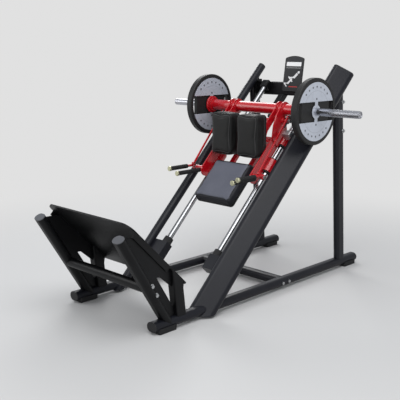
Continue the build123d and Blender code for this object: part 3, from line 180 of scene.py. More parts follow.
class ShaderTree:
    """The node tree of a material or a world, with one method that adds any node."""

    def __init__(self, owner: bpy.types.Material | bpy.types.World) -> None:
        """Empties the owner's node tree.

        Args:
            owner: A new material or world.
        """
        self.owner = owner
        owner.use_nodes = True
        self.tree = owner.node_tree
        self.tree.nodes.clear()

    def add(self, kind: str, inputs: Inputs | None = None, **settings: object) -> bpy.types.Node:
        """Adds a node, sets its options and fills its inputs.

        Args:
            kind: Blender's node type.
            inputs: Input name or number to a signal, a socket or a constant.
            **settings: Options of the node itself.

        Returns:
            The new node.
        """
        node = self.tree.nodes.new(kind)
        for name, value in settings.items():
            setattr(node, name, value)
        for name, value in (inputs or {}).items():
            if isinstance(value, Signal):
                self.tree.links.new(value.socket, node.inputs[name])
            elif isinstance(value, bpy.types.NodeSocket):
                self.tree.links.new(value, node.inputs[name])
            else:
                node.inputs[name].default_value = value
        return node

    def place(self) -> bpy.types.NodeSocket:
        """Place on the piece at rest, in metres, which rides with the piece."""
        return self.add("ShaderNodeTexCoord").outputs["Object"]

    def stretched(self, scale: Sequence[float]) -> bpy.types.NodeSocket:
        """Place with each axis scaled.

        Args:
            scale: Three factors.

        Returns:
            The scaled place.
        """
        return self.add("ShaderNodeMapping", {"Vector": self.place(), "Scale": tuple(scale)}).outputs[0]

    def along(self, direction: Vector) -> Signal:
        """Distance of a place along a direction from the origin, in metres."""
        return self.dot(self.place(), tuple(direction))

    def dot(self, first: object, second: object) -> Signal:
        """Dot product of two vectors, each a socket or three numbers."""
        node = self.add("ShaderNodeVectorMath", {0: first, 1: second}, operation="DOT_PRODUCT")
        return Signal(self, node.outputs["Value"])

    def offset(self, origin: Vector) -> bpy.types.NodeSocket:
        """Place measured from a point."""
        inputs = {0: self.place(), 1: tuple(origin)}
        return self.add("ShaderNodeVectorMath", inputs, operation="SUBTRACT").outputs[0]

    def axes(self, vector: bpy.types.NodeSocket) -> list[Signal]:
        """The three parts of a vector."""
        return [Signal(self, part) for part in self.add("ShaderNodeSeparateXYZ", {0: vector}).outputs]

    def noise(
        self, size: float, detail: float = 3.0, rough: float = 0.55, scale: Sequence[float] = (1, 1, 1)
    ) -> Signal:
        """Cloudy noise.

        Args:
            size: Size of one cloud in metres.
            detail: Octaves of finer noise.
            rough: Strength of the finer octaves.
            scale: Stretch of each axis.

        Returns:
            The noise, about 0.5 in the mean.
        """
        inputs = {"Vector": self.stretched(scale), "Scale": 1.0 / size, "Detail": detail, "Roughness": rough}
        return Signal(self, self.add("ShaderNodeTexNoise", inputs).outputs["Fac"])

    def cells(self, size: float, feature: str = "DISTANCE_TO_EDGE") -> Signal:
        """Cells of a given size, as leather grain or casting pits have."""
        inputs = {"Vector": self.place(), "Scale": 1.0 / size}
        return Signal(self, self.add("ShaderNodeTexVoronoi", inputs, feature=feature).outputs["Distance"])

    def mix(self, factor: Signal, first: object, second: object) -> bpy.types.NodeSocket:
        """Blends two colours.

        Args:
            factor: Zero gives the first colour and one the second.
            first: A colour socket or three numbers.
            second: A colour socket or three numbers.

        Returns:
            The blended colour.
        """
        pair = [(*c, 1.0) if isinstance(c, tuple) else c for c in (first, second)]
        node = self.add("ShaderNodeMix", {0: factor, 6: pair[0], 7: pair[1]}, data_type="RGBA")
        return node.outputs[2]

    def edge(self, radius: float) -> tuple[Signal, bpy.types.NodeSocket]:
        """Finds the piece's edges.

        Args:
            radius: Width of the softened edge in metres.

        Returns:
            One on edges and zero elsewhere, and the softened normal.
        """
        soft = self.add("ShaderNodeBevel", {"Radius": radius}, samples=4).outputs[0]
        plain = self.add("ShaderNodeNewGeometry").outputs["Normal"]
        return (1.0 - self.dot(soft, plain)).step(0.02, 0.22), soft

    def bump(
        self, height: Signal, depth: float, normal: bpy.types.NodeSocket | None = None
    ) -> bpy.types.NodeSocket:
        """Turns a height into a normal.

        Args:
            height: Height between zero and one.
            depth: Depth in metres.
            normal: Normal to start from.

        Returns:
            The bumped normal.
        """
        inputs: Inputs = {"Height": height, "Distance": depth, "Strength": 1.0}
        if normal is not None:
            inputs["Normal"] = normal
        return self.add("ShaderNodeBump", inputs).outputs[0]

    def surface(self, varying: dict[str, object], steady: dict[str, object]) -> bpy.types.Material:
        """Ends the tree with the surface shader.

        Args:
            varying: Inputs that change over the surface.
            steady: Inputs with one value.

        Returns:
            The finished material.
        """
        shader = self.add("ShaderNodeBsdfPrincipled", {**steady, **varying})
        self.add("ShaderNodeOutputMaterial", {"Surface": shader.outputs[0]})
        return self.owner


# ---------------------------------------------------------------- finishes
@dataclass(frozen=True)
class PowderCoat:
    """Baked powder paint on steel: fine ripple, faint cloudiness and rubbed edges."""

    name: str
    colour: Colour
    dusty: Colour
    worn: Colour
    roughness: float = 0.38
    ripple: float = 0.00011
    coat: float = 0.0
    shine: float = 0.5

    def build(self) -> bpy.types.Material:
        """Makes the material."""
        tree = ShaderTree(bpy.data.materials.new(self.name))
        edges, soft = tree.edge(0.0022)
        rubbed = edges * tree.noise(0.03, 5.0, 0.7).step(0.42, 0.68)
        clouds = tree.noise(0.22, 4.0, 0.6)
        specks = tree.noise(0.0016, 2.0, 0.6)
        scuffs = tree.noise(0.02, 6.0, 0.75, (1.0, 1.0, 0.25)).step(0.62, 0.8)
        body = tree.mix(clouds.step(0.3, 0.75), self.colour, self.dusty)
        colour = tree.mix(rubbed * 0.55, body, self.worn)
        gloss = self.roughness + 0.1 * (clouds - 0.5) + 0.12 * scuffs + 0.14 * rubbed + 0.05 * (specks - 0.5)
        normal = tree.bump(tree.noise(0.0028, 3.0, 0.55) + 0.3 * specks, self.ripple, soft)
        steady = {"Specular IOR Level": self.shine, "Coat Roughness": 0.12}
        varying: dict[str, object] = {"Base Color": colour, "Roughness": gloss, "Normal": normal}
        if self.coat > 0:
            varying["Coat Weight"] = self.coat * (1.0 - 0.7 * rubbed)
        return tree.surface(varying, steady)


@dataclass(frozen=True)
class Vinyl:
    """Upholstery vinyl with a pebbled grain and a soft sheen."""

    name: str
    colour: Colour
    light: Colour
    border: Colour = (0.004, 0.004, 0.004)
    grain: float = 0.0022
    depth: float = 0.00022
    roughness: float = 0.5
    shine: float = 0.26

    def build(self, face: Vector | None = None, level: float = 0.0) -> bpy.types.Material:
        """Makes the material.

        Args:
            face: Direction in which the pad faces, when its border has another colour.
            level: Distance along that direction where the border ends and the face begins.

        Returns:
            The material.
        """
        tree = ShaderTree(bpy.data.materials.new(self.name))
        pebbles = tree.cells(self.grain).step(0.0, 0.24)
        fine = tree.noise(0.0007, 3.0, 0.6)
        creases = tree.noise(0.035, 6.0, 0.72).step(0.35, 0.8)
        handled = tree.noise(0.12, 3.0, 0.5)
        lightness = 0.35 * pebbles + 0.5 * handled.step(0.25, 0.8) + 0.1 * fine
        colour = tree.mix(lightness, self.colour, self.light)
        if face is not None:
            colour = tree.mix(tree.along(face).step(level - 0.0006, level + 0.0006), self.border, colour)
        gloss = self.roughness + 0.16 * (handled - 0.5) + 0.08 * (0.5 - pebbles) + 0.04 * creases
        height = 0.55 * pebbles + 0.2 * fine + 0.5 * creases
        steady = {"Sheen Weight": 0.04, "Sheen Roughness": 0.4, "Specular IOR Level": self.shine}
        normal = tree.bump(height, self.depth)
        return tree.surface({"Base Color": colour, "Roughness": gloss, "Normal": normal}, steady)


class Lay(Enum):
    """Direction in which a metal's fine lines run."""

    ROUND_X = (900.0, 9.0, 9.0)
    ROUND_SLOPE = (12.0, 420.0, 420.0)
    NONE = (260.0, 260.0, 260.0)


@dataclass(frozen=True)
class BareMetal:
    """Bare or plated steel with machining lines, faint stains and bright edges."""

    name: str
    colour: Colour
    stain: Colour
    roughness: float
    lay: Lay = Lay.NONE
    line_depth: float = 0.000008

    def build(self) -> bpy.types.Material:
        """Makes the material."""
        tree = ShaderTree(bpy.data.materials.new(self.name))
        edges, soft = tree.edge(0.0012)
        lines = tree.noise(1.0, 3.0, 0.6, self.lay.value)
        stains = tree.noise(0.05, 5.0, 0.65).step(0.5, 0.8)
        colour = tree.mix(0.45 * stains + 0.2 * lines - 0.2 * edges, self.colour, self.stain)
        gloss = self.roughness + 0.1 * (lines - 0.5) + 0.1 * stains
        normal = tree.bump(lines, self.line_depth, soft)
        return tree.surface({"Base Color": colour, "Roughness": gloss, "Normal": normal}, {"Metallic": 1.0})


@dataclass(frozen=True)
class Moulded:
    """Moulded rubber or plastic with a spark-eroded grain."""

    name: str
    colour: Colour
    worn: Colour
    roughness: float = 0.6
    grain: float = 0.0011
    depth: float = 0.00012

    def build(self) -> bpy.types.Material:
        """Makes the material."""
        tree = ShaderTree(bpy.data.materials.new(self.name))
        edges, soft = tree.edge(0.0015)
        grain = tree.noise(self.grain, 3.0, 0.6)
        dust = tree.noise(0.04, 5.0, 0.7).step(0.45, 0.85)
        colour = tree.mix(0.35 * dust + 0.3 * edges + 0.12 * grain, self.colour, self.worn)
        gloss = self.roughness + 0.12 * (grain - 0.5) + 0.1 * dust
        varying = {"Base Color": colour, "Roughness": gloss, "Normal": tree.bump(grain, self.depth, soft)}
        return tree.surface(varying, {"Specular IOR Level": 0.35})


@dataclass(frozen=True)
class CastEnamel:
    """Enamelled casting of the weight plates: pitted, with chips along the rim."""

    name: str
    colour: Colour
    chipped: Colour
    roughness: float = 0.5

    def build(self) -> bpy.types.Material:
        """Makes the material."""
        tree = ShaderTree(bpy.data.materials.new(self.name))
        edges, soft = tree.edge(0.003)
        pits = tree.cells(0.0032, "F1")
        lumps = tree.noise(0.012, 4.0, 0.6)
        chips = edges * tree.noise(0.018, 6.0, 0.75).step(0.52, 0.62)
        scrapes = tree.noise(0.03, 6.0, 0.8).step(0.64, 0.76)
        colour = tree.mix(0.75 * chips + 0.12 * scrapes + 0.06 * lumps, self.colour, self.chipped)
        gloss = self.roughness + 0.15 * (lumps - 0.5) - 0.08 * chips + 0.1 * scrapes
        normal = tree.bump(0.6 * lumps + 0.25 * pits, 0.0004, soft)
        varying = {"Base Color": colour, "Roughness": gloss, "Normal": normal}
        return tree.surface(varying, {"Specular IOR Level": 0.24})


@dataclass(frozen=True)
class PlateSilver:
    """Silver paint on the weight plates' cover faces, with a row of raised tally dots near the rim."""

    name: str
    centre: Vector
    colour: Colour = (0.52, 0.555, 0.63)
    grey: Colour = (0.3, 0.31, 0.35)
    mark: Colour = (0.05, 0.052, 0.06)
    dot_ring: float = 0.166
    dot_count: int = 24

    def build(self) -> bpy.types.Material:
        """Makes the material."""
        tree = ShaderTree(bpy.data.materials.new(self.name))
        edges, soft = tree.edge(0.0015)
        _, across, up = tree.axes(tree.offset(self.centre))
        radius = (across * across + up * up) ** 0.5
        turns = up.angle(across) * (self.dot_count / math.tau)
        along_ring = (turns - turns.rounded()) * (math.tau * self.dot_ring / self.dot_count)
        off_ring = radius - self.dot_ring
        from_dot = (along_ring * along_ring + off_ring * off_ring) ** 0.5
        outer = abs(up).step(0.095, 0.1)
        dots = (1.0 - from_dot.step(0.0055, 0.008)) * outer
        badge = (1.0 - abs(across).step(0.006, 0.008)) * (1.0 - abs(abs(up) - 0.086).step(0.005, 0.007))
        ridge = 1.0 - abs(radius - 0.14).step(0.0008, 0.0022)
        flecks = tree.noise(0.0012, 2.0, 0.6)
        grime = tree.noise(0.05, 5.0, 0.7).step(0.45, 0.85)
        silver = tree.mix(0.35 * grime + 0.15 * flecks + 0.5 * ridge, self.colour, self.grey)
        colour = tree.mix(0.85 * dots + 0.9 * badge, silver, self.mark)
        gloss = 0.34 + 0.12 * grime + 0.1 * (flecks - 0.5)
        normal = tree.bump(0.04 * flecks + 0.9 * dots + 0.5 * ridge + 0.05 * edges, 0.0012, soft)
        return tree.surface({"Base Color": colour, "Roughness": gloss, "Normal": normal}, {"Metallic": 0.35})


@dataclass(frozen=True)
class PlacardPrint:
    """Printed film of the placard: a pale title bar, two plain exercise figures and a rule between."""

    name: str
    foot: Vector
    up: Vector
    ink: Colour = (0.006, 0.0062, 0.0072)
    haze: Colour = (0.02, 0.021, 0.025)
    pale: Colour = (0.72, 0.73, 0.74)
    red: Colour = (0.4, 0.02, 0.02)

    def build(self) -> bpy.types.Material:
        """Makes the material."""
        tree = ShaderTree(bpy.data.materials.new(self.name))
        offset = tree.offset(self.foot)
        height = tree.dot(offset, tuple(self.up))
        across = tree.axes(offset)[0]
        title = self.bar(across, height, 0.0, 0.194, 0.068, 0.015)
        rule = self.bar(across, height, 0.0, 0.166, 0.068, 0.0012)
        large = self.figure(across, height, 0.022, 0.104, 1.5)
        figures = large + self.figure(across, height, -0.032, 0.058, 1.15)
        slope = self.bar(across, height, 0.012, 0.026, 0.04, 0.003)
        shade = height.step(0.02, 0.25)
        fleck = tree.noise(0.002, 2.0, 0.5)
        body = tree.mix(slope, tree.mix(shade * 0.6 + 0.2 * fleck, self.ink, self.haze), self.red)
        colour = tree.mix(title + 0.6 * rule + 0.85 * figures, body, self.pale)
        gloss = 0.3 + 0.1 * tree.noise(0.03, 4.0, 0.6)
        varying = {"Base Color": colour, "Roughness": gloss, "Normal": tree.bump(fleck, 0.00002)}
        return tree.surface(varying, {"Specular IOR Level": 0.2})

    @staticmethod
    def bar(across: Signal, height: Signal, x: float, z: float, half_x: float, half_z: float) -> Signal:
        """One inside a rectangle of the print and zero outside.

        Args:
            across: Place across the print.
            height: Place up the print.
            x: Middle across.
            z: Middle up.
            half_x: Half the width.
            half_z: Half the height.

        Returns:
            The mask.
        """
        return abs(across - x).below(half_x) * abs(height - z).below(half_z)

    @staticmethod
    def figure(across: Signal, height: Signal, x: float, z: float, size: float) -> Signal:
        """A plain figure that leans on a slope: a round head, a body and two bent limbs.

        Args:
            across: Place across the print.
            height: Place up the print.
            x: Middle of the figure across.
            z: Middle of the figure up.
            size: How many times larger than its plain size.

        Returns:
            The mask.
        """
        run, rise = (across - x) / size, (height - z) / size
        lean, off = (run + rise) * math.sqrt(0.5), (rise - run) * math.sqrt(0.5)
        head = (((lean - 0.028) * (lean - 0.028) + off * off) ** 0.5).below(0.0065)
        trunk = abs(off).below(0.006) * abs(lean - 0.004).below(0.015)
        thigh = abs(off - 0.011 + (lean + 0.02) * 0.9).below(0.0042) * abs(lean + 0.018).below(0.012)
        shin = abs(lean + 0.03).below(0.0036) * abs(off - 0.009).below(0.018)
        return head + trunk + thigh + shin


class Finish(Enum):
    """The finishes of the machine."""

    FRAME = PowderCoat(
        "frame_paint", (0.0075, 0.008, 0.0115), (0.0105, 0.0112, 0.0155), (0.06, 0.06, 0.068), shine=0.24
    )
    # Darker copy of the same frame paint: painted shade for frame pieces that stand in shadow.
    DARK_FRAME = PowderCoat(
        "frame_paint_painted_shade",
        (0.003, 0.0031, 0.0036),
        (0.0052, 0.0054, 0.0062),
        (0.05, 0.05, 0.055),
        0.4,
        shine=0.2,
    )
    RED = PowderCoat(
        "red_paint", (0.44, 0.0035, 0.01), (0.36, 0.003, 0.008), (0.52, 0.09, 0.08), 0.26, 0.00007, 0.55, 0.4
    )
    BLACK_PLASTIC = Moulded("black_plastic", (0.009, 0.009, 0.01), (0.05, 0.05, 0.052), 0.5)
    GREY_PLASTIC = Moulded("grey_plastic", (0.075, 0.078, 0.088), (0.14, 0.143, 0.155), 0.45)
    RUBBER = Moulded("black_rubber", (0.008, 0.008, 0.009), (0.045, 0.044, 0.042), 0.72, 0.0016, 0.0003)
    ROD = BareMetal("chrome_rod", (0.36, 0.365, 0.38), (0.26, 0.262, 0.27), 0.2, Lay.ROUND_SLOPE, 0.00001)
    HORN = BareMetal("horn_steel", (0.46, 0.465, 0.5), (0.32, 0.322, 0.34), 0.27, Lay.ROUND_X)
    ZINC = BareMetal("zinc_steel", (0.5, 0.51, 0.52), (0.3, 0.3, 0.29), 0.38)
    KNOB = BareMetal("champagne_knob", (0.62, 0.61, 0.42), (0.46, 0.45, 0.33), 0.28)
    BLACK_VINYL = Vinyl("black_vinyl", (0.0055, 0.0055, 0.0055), (0.012, 0.012, 0.0118))
    GREY_VINYL = Vinyl(
        "grey_vinyl", (0.078, 0.083, 0.108), (0.108, 0.113, 0.142), (0.0105, 0.011, 0.015)
    )
    # Shoulder-pad piping, lighter than the black vinyl: a painted highlight along the seams.
    BLACK_PIPING = Vinyl("black_piping_painted_highlight", (0.03, 0.03, 0.031), (0.05, 0.05, 0.051))
    GREY_PIPING = Vinyl("grey_piping", (0.006, 0.0062, 0.0075), (0.014, 0.0145, 0.017))
    IRON = CastEnamel("plate_iron", (0.009, 0.009, 0.0095), (0.2, 0.2, 0.2))

    @cache
    def material(self) -> bpy.types.Material:
        """The finish's material, made once."""
        return self.value.build()


Rule = Callable[[Vector], bool]


def dress(
    node: bpy.types.Object, finish: bpy.types.Material, special: Sequence[tuple[bpy.types.Material, Rule]] = ()
) -> None:
    """Gives a piece its finish, and other finishes to the faces that a rule picks.

    Args:
        node: The piece.
        finish: Its main material.
        special: Other materials, each with a rule on a face's centre.
    """
    node.data.materials.clear()
    for material in (finish, *(material for material, _ in special)):
        node.data.materials.append(material)
    for polygon in node.data.polygons:
        chosen = [k + 1 for k, (_, rule) in enumerate(special) if rule(polygon.center)]
        polygon.material_index = chosen[0] if chosen else 0


# ---------------------------------------------------------------- added pieces
def mesh_object(name: str, shape: bmesh.types.BMesh, material: bpy.types.Material) -> bpy.types.Object:
    """Turns a mesh in the making into an object.

    Args:
        name: The new object's name.
        shape: The mesh, which is freed.
        material: Its material.

    Returns:
        The new object, smooth shaded.
    """
    mesh = bpy.data.meshes.new(name)
    shape.to_mesh(mesh)
    shape.free()
    piece = bpy.data.objects.new(name, mesh)
    bpy.context.scene.collection.objects.link(piece)
    mesh.materials.append(material)
    for polygon in mesh.polygons:
        polygon.use_smooth = True
    return piece


def piping_along(
    name: str, points: Sequence[Vector], radius: float, material: bpy.types.Material
) -> bpy.types.Object:
    """A round piping that runs in a loop through points, as a mesh.

    Args:
        name: The new object's name.
        points: Its middle line.
        radius: Its radius in metres.
        material: Its material.

    Returns:
        The new object.
    """
    curve = bpy.data.curves.new(name, "CURVE")
    curve.dimensions = "3D"
    curve.bevel_depth = radius
    curve.bevel_resolution = 3
    spline = curve.splines.new("POLY")
    spline.points.add(len(points) - 1)
    for slot, point in zip(spline.points, points):
        slot.co = (*point, 1.0)
    spline.use_cyclic_u = True
    holder = bpy.data.objects.new(name + "_line", curve)
    bpy.context.scene.collection.objects.link(holder)
    bpy.context.view_layer.update()
    mesh = bpy.data.meshes.new_from_object(holder.evaluated_get(bpy.context.evaluated_depsgraph_get()))
    bpy.data.objects.remove(holder)
    piece = bpy.data.objects.new(name, mesh)
    bpy.context.scene.collection.objects.link(piece)
    mesh.materials.clear()
    mesh.materials.append(material)
    for polygon in mesh.polygons:
        polygon.use_smooth = True
    return piece


@dataclass
class WeldBead:
    """A rippled fillet weld that runs round a tube."""

    name: str
    body: str
    centre: Vector
    axis: Vector
    radius: float
    leg: float = 0.0035
    ripple_length: float = 0.004
    ripple: float = 0.14
    sides: int = 8

    def build(self, material: bpy.types.Material) -> bpy.types.Object:
        """Makes the bead.

        Args:
            material: The paint that covers it.

        Returns:
            The bead, which rides on its body.
        """
        turn = self.axis.normalized().to_track_quat("Z", "Y").to_matrix()
        count = max(48, int(math.tau * self.radius / (self.ripple_length / 3)))
        ripples = math.tau * self.radius / self.ripple_length
        shape = bmesh.new()
        rings = []
        for k in range(count):
            angle = math.tau * k / count
            swell = self.leg * (1.0 + self.ripple * math.sin(angle * ripples))
            spoke = Vector((math.cos(angle), math.sin(angle), 0.0))
            ring = []
            for j in range(self.sides):
                around = math.tau * j / self.sides
                reach = self.radius + swell * math.cos(around)
                point = spoke * reach + Vector((0, 0, swell * math.sin(around)))
                ring.append(shape.verts.new(self.centre + turn @ point))
            rings.append(ring)
        for k in range(count):
            first, second = rings[k], rings[(k + 1) % count]
            for j in range(self.sides):
                after = (j + 1) % self.sides
                shape.faces.new((first[j], second[j], second[after], first[after]))
        bead = mesh_object(self.name, shape, material)
        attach(bead, self.body)
        return bead


@dataclass
class Pad:
    """An upholstered pad: foam under a sewn vinyl cover, with a boxed border and piping."""

    name: str
    node: str
    finish: Finish
    trim: Finish
    slot: str
    face: Vector
    up: Vector
    body: str = "sled"
    shrink: float = 0.0045
    swell: float = 0.0075
    voxel: float = 0.006
    pressure: float = 4.0
    piping: float = 0.0026
    corner: float = 0.028
    seam_depth: float = 0.011
    seam_width: float = 0.0045
    seam_press: float = 0.0022
    seam_margin: float = 0.03
    held_band: float = 0.012
    stiffness: float = 25.0
    settling_frames: int = 20
    relax_passes: int = 14

    @property
    def side(self) -> Vector:
        """Direction across the pad."""
        return self.up.cross(self.face)

    def extents(self) -> tuple[Vector, Vector]:
        """Lowest and highest corner in the pad's own directions: across, up and out."""
        points = [self.local(v.co) for v in bpy.data.objects[self.node].data.vertices]
        low = Vector((min(p[k] for p in points) for k in range(3)))
        high = Vector((max(p[k] for p in points) for k in range(3)))
        return low, high

    def local(self, point: Vector) -> Vector:
        """A point in the pad's own directions."""
        return Vector((point.dot(self.side), point.dot(self.up), point.dot(self.face)))

    def world(self, point: Vector) -> Vector:
        """A point of the pad back in the machine's axes."""
        return self.side * point[0] + self.up * point[1] + self.face * point[2]

    def foam(self) -> bpy.types.Object:
        """The pad's plain shape, a little smaller, ready to be blown up."""
        low, high = self.extents()
        middle = (low + high) / 2
        source = bpy.data.objects[self.node]
        foam = bpy.data.objects.new(self.name, source.data.copy())
        bpy.context.scene.collection.objects.link(foam)
        for vertex in foam.data.vertices:
            point = self.local(vertex.co)
            for k in range(3):
                half = (high[k] - low[k]) / 2
                point[k] = middle[k] + (point[k] - middle[k]) * (half - self.shrink) / half
            point[2] -= self.shrink
            vertex.co = self.world(point)
        return foam

    def inflate(self, foam: bpy.types.Object) -> None:
        """Blows the cover up like foam under tension, with its back held flat on the board.

        Args:
            foam: The pad's shape, which is changed.
        """
        remesh = foam.modifiers.new("even", "REMESH")
        remesh.mode = "VOXEL"
        remesh.voxel_size = self.voxel
        self.apply(foam)
        self.simulate(foam)
        self.smooth(foam)

    def simulate(self, foam: bpy.types.Object) -> None:
        """Blows the cover up as pressurised cloth that is held along the board.

        Args:
            foam: The pad's shape, which is changed.
        """
        rest = [v.co.copy() for v in foam.data.vertices]
        board = self.extents()[0][2] + self.held_band
        held = foam.vertex_groups.new(name="board")
        held.add([v.index for v in foam.data.vertices if self.local(v.co)[2] < board], 1.0, "REPLACE")
        cloth = foam.modifiers.new("cover", "CLOTH")
        cloth.settings.use_pressure = True
        cloth.settings.uniform_pressure_force = self.pressure
        cloth.settings.effector_weights.gravity = 0.0
        cloth.settings.vertex_group_mass = held.name
        cloth.settings.tension_stiffness = self.stiffness
        cloth.settings.compression_stiffness = self.stiffness
        for frame in range(1, self.settling_frames + 1):
            bpy.context.scene.frame_set(frame)
        self.apply(foam)
        for vertex, start in zip(foam.data.vertices, rest):
            move = vertex.co - start
            if move.length > self.swell:
                vertex.co = start + move * (self.swell / move.length)
        bpy.context.scene.frame_set(1)

    def smooth(self, foam: bpy.types.Object) -> None:
        """Softens the voxel steps, adds one subdivision and presses in the seams.

        Args:
            foam: The pad's mesh.
        """
        relax = foam.modifiers.new("relax", "SMOOTH")
        relax.factor = 0.5
        relax.iterations = self.relax_passes
        finer = foam.modifiers.new("finer", "SUBSURF")
        finer.levels = 1
        finer.render_levels = 1
        self.apply(foam)
        low, high = self.extents()
        seam = high[2] - self.seam_depth
        for vertex in foam.data.vertices:
            point = self.local(vertex.co)
            near = math.exp(-(((point[2] - seam) / self.seam_width) ** 2))
            edge = min(min(high[k] - point[k], point[k] - low[k]) for k in (0, 1))
            if edge < self.seam_margin:
                inward = Vector(((low[0] + high[0]) / 2 - point[0], (low[1] + high[1]) / 2 - point[1], 0.0))
                point += inward.normalized() * self.seam_press * near
                vertex.co = self.world(point)
        for polygon in foam.data.polygons:
            polygon.use_smooth = True

    @staticmethod
    def apply(piece: bpy.types.Object) -> None:
        """Bakes a piece's modifiers into its mesh.

        Args:
            piece: The object.
        """
        bpy.context.view_layer.update()
        baked = bpy.data.meshes.new_from_object(piece.evaluated_get(bpy.context.evaluated_depsgraph_get()))
        piece.modifiers.clear()
        piece.data = baked

    def outline(self, depth: float, steps: int = 9) -> list[tuple[Vector, Vector]]:
        """Rounded rectangle round the pad at one depth.

        Args:
            depth: Distance behind the pad's front.
            steps: Points in each corner and on each side.

        Returns:
            Points in order, each with its direction outwards.
        """
        low, high = self.extents()
        ring: list[tuple[Vector, Vector]] = []
        for number, (sx, sy) in enumerate(((1, 1), (-1, 1), (-1, -1), (1, -1))):
            x = (high[0] if sx > 0 else low[0]) - sx * self.corner
            y = (high[1] if sy > 0 else low[1]) - sy * self.corner
            for step in range(steps):
                angle = math.pi / 2 * (number + step / (steps - 1))
                spoke = Vector((math.cos(angle), math.sin(angle), 0.0))
                ring.append((Vector((x, y, high[2] - depth)) + spoke * self.corner, spoke))
        full: list[tuple[Vector, Vector]] = []
        for number, (point, spoke) in enumerate(ring):
            full.append((self.world(point), self.world(spoke)))
            if number % steps == steps - 1:
                end = ring[(number + 1) % len(ring)][0]
                full += [(self.world(point.lerp(end, k / steps)), self.world(spoke)) for k in range(1, steps)]
        return full

    def seam(self, foam: bpy.types.Object, depth: float) -> list[Vector]:
        """Line on the cover at one depth.

        Args:
            foam: The blown-up pad.
            depth: Distance behind the pad's front.

        Returns:
            Points that lie on the cover.
        """
        mesh = foam.data
        tree = BVHTree.FromPolygons([v.co for v in mesh.vertices], [tuple(p.vertices) for p in mesh.polygons])
        points = []
        for point, outwards in self.outline(depth):
            hit = tree.ray_cast(point + outwards * self.seam_margin, -outwards)[0]
            points.append((hit or point) - outwards * self.piping * 0.3)
        return points

    def build(self) -> None:
        """Makes the pad with its piping and puts it on its body."""
        foam = self.foam()
        self.inflate(foam)
        level = self.extents()[1][2] - self.seam_depth
        foam.data.materials.clear()
        foam.data.materials.append(self.finish.value.build(self.face, level))
        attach(foam, self.body)
        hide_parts(self.node)
        low, high = self.extents()
        for label, depth in (("front", self.seam_depth), ("rear", high[2] - low[2] - self.seam_depth)):
            line = self.seam(foam, depth)
            piping = piping_along(f"{self.name}_{label}_piping", line, self.piping, self.trim.material())
            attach(piping, self.body)
        LOG.info("%s: %d faces", self.name, len(foam.data.polygons))


# ---------------------------------------------------------------- sub-assemblies
@dataclass
class Base:
    """Runners, beams, posts, foot plate and guide rods."""

    nodes: dict[str, bpy.types.Object]
    painted: tuple[str, ...] = (
        "left_runner",
        "right_runner",
        "base_cross_member",
        "left_beam",
        "right_beam",
        "left_post",
        "right_post",
        "rod_brackets",
    )
    # Frame pieces that get the darker copy of the frame paint as painted shade.
    painted_shade_parts: tuple[str, ...] = (
        "foot_plate",
        "upper_cross_beam",
        "left_upright",
        "right_upright",
        "front_cross_tube",
        "plate_struts",
        "plate_gussets",
    )
    plastic: tuple[str, ...] = ("runner_end_caps", "beam_end_caps", "placard_board")
    rubber: tuple[str, ...] = ("rubber_feet", "stop_buffers", "rod_bumpers")

    def dress(self) -> None:
        """Gives each piece of the base its finish."""
        groups = {
            Finish.FRAME: self.painted,
            Finish.DARK_FRAME: self.painted_shade_parts,
            Finish.BLACK_PLASTIC: self.plastic,
            Finish.RUBBER: self.rubber,
            Finish.GREY_PLASTIC: ("upright_end_caps",),
            Finish.ROD: ("left_guide_rod", "right_guide_rod"),
            Finish.ZINC: ("stop_blocks", "frame_bolts"),
        }
        for finish, names in groups.items():
            for name in names:
                dress(self.nodes[name], finish.material())
        LOG.info("base: %d pieces dressed", sum(len(names) for names in groups.values()))

    def placard(self) -> None:
        """Prints the placard's film."""
        low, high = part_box("placard_label")
        up = Vector((0.0, high.y - low.y, high.z - low.z)).normalized()
        foot = Vector((0.0, low.y, low.z))
        dress(self.nodes["placard_label"], PlacardPrint("placard_print", foot, up).build())


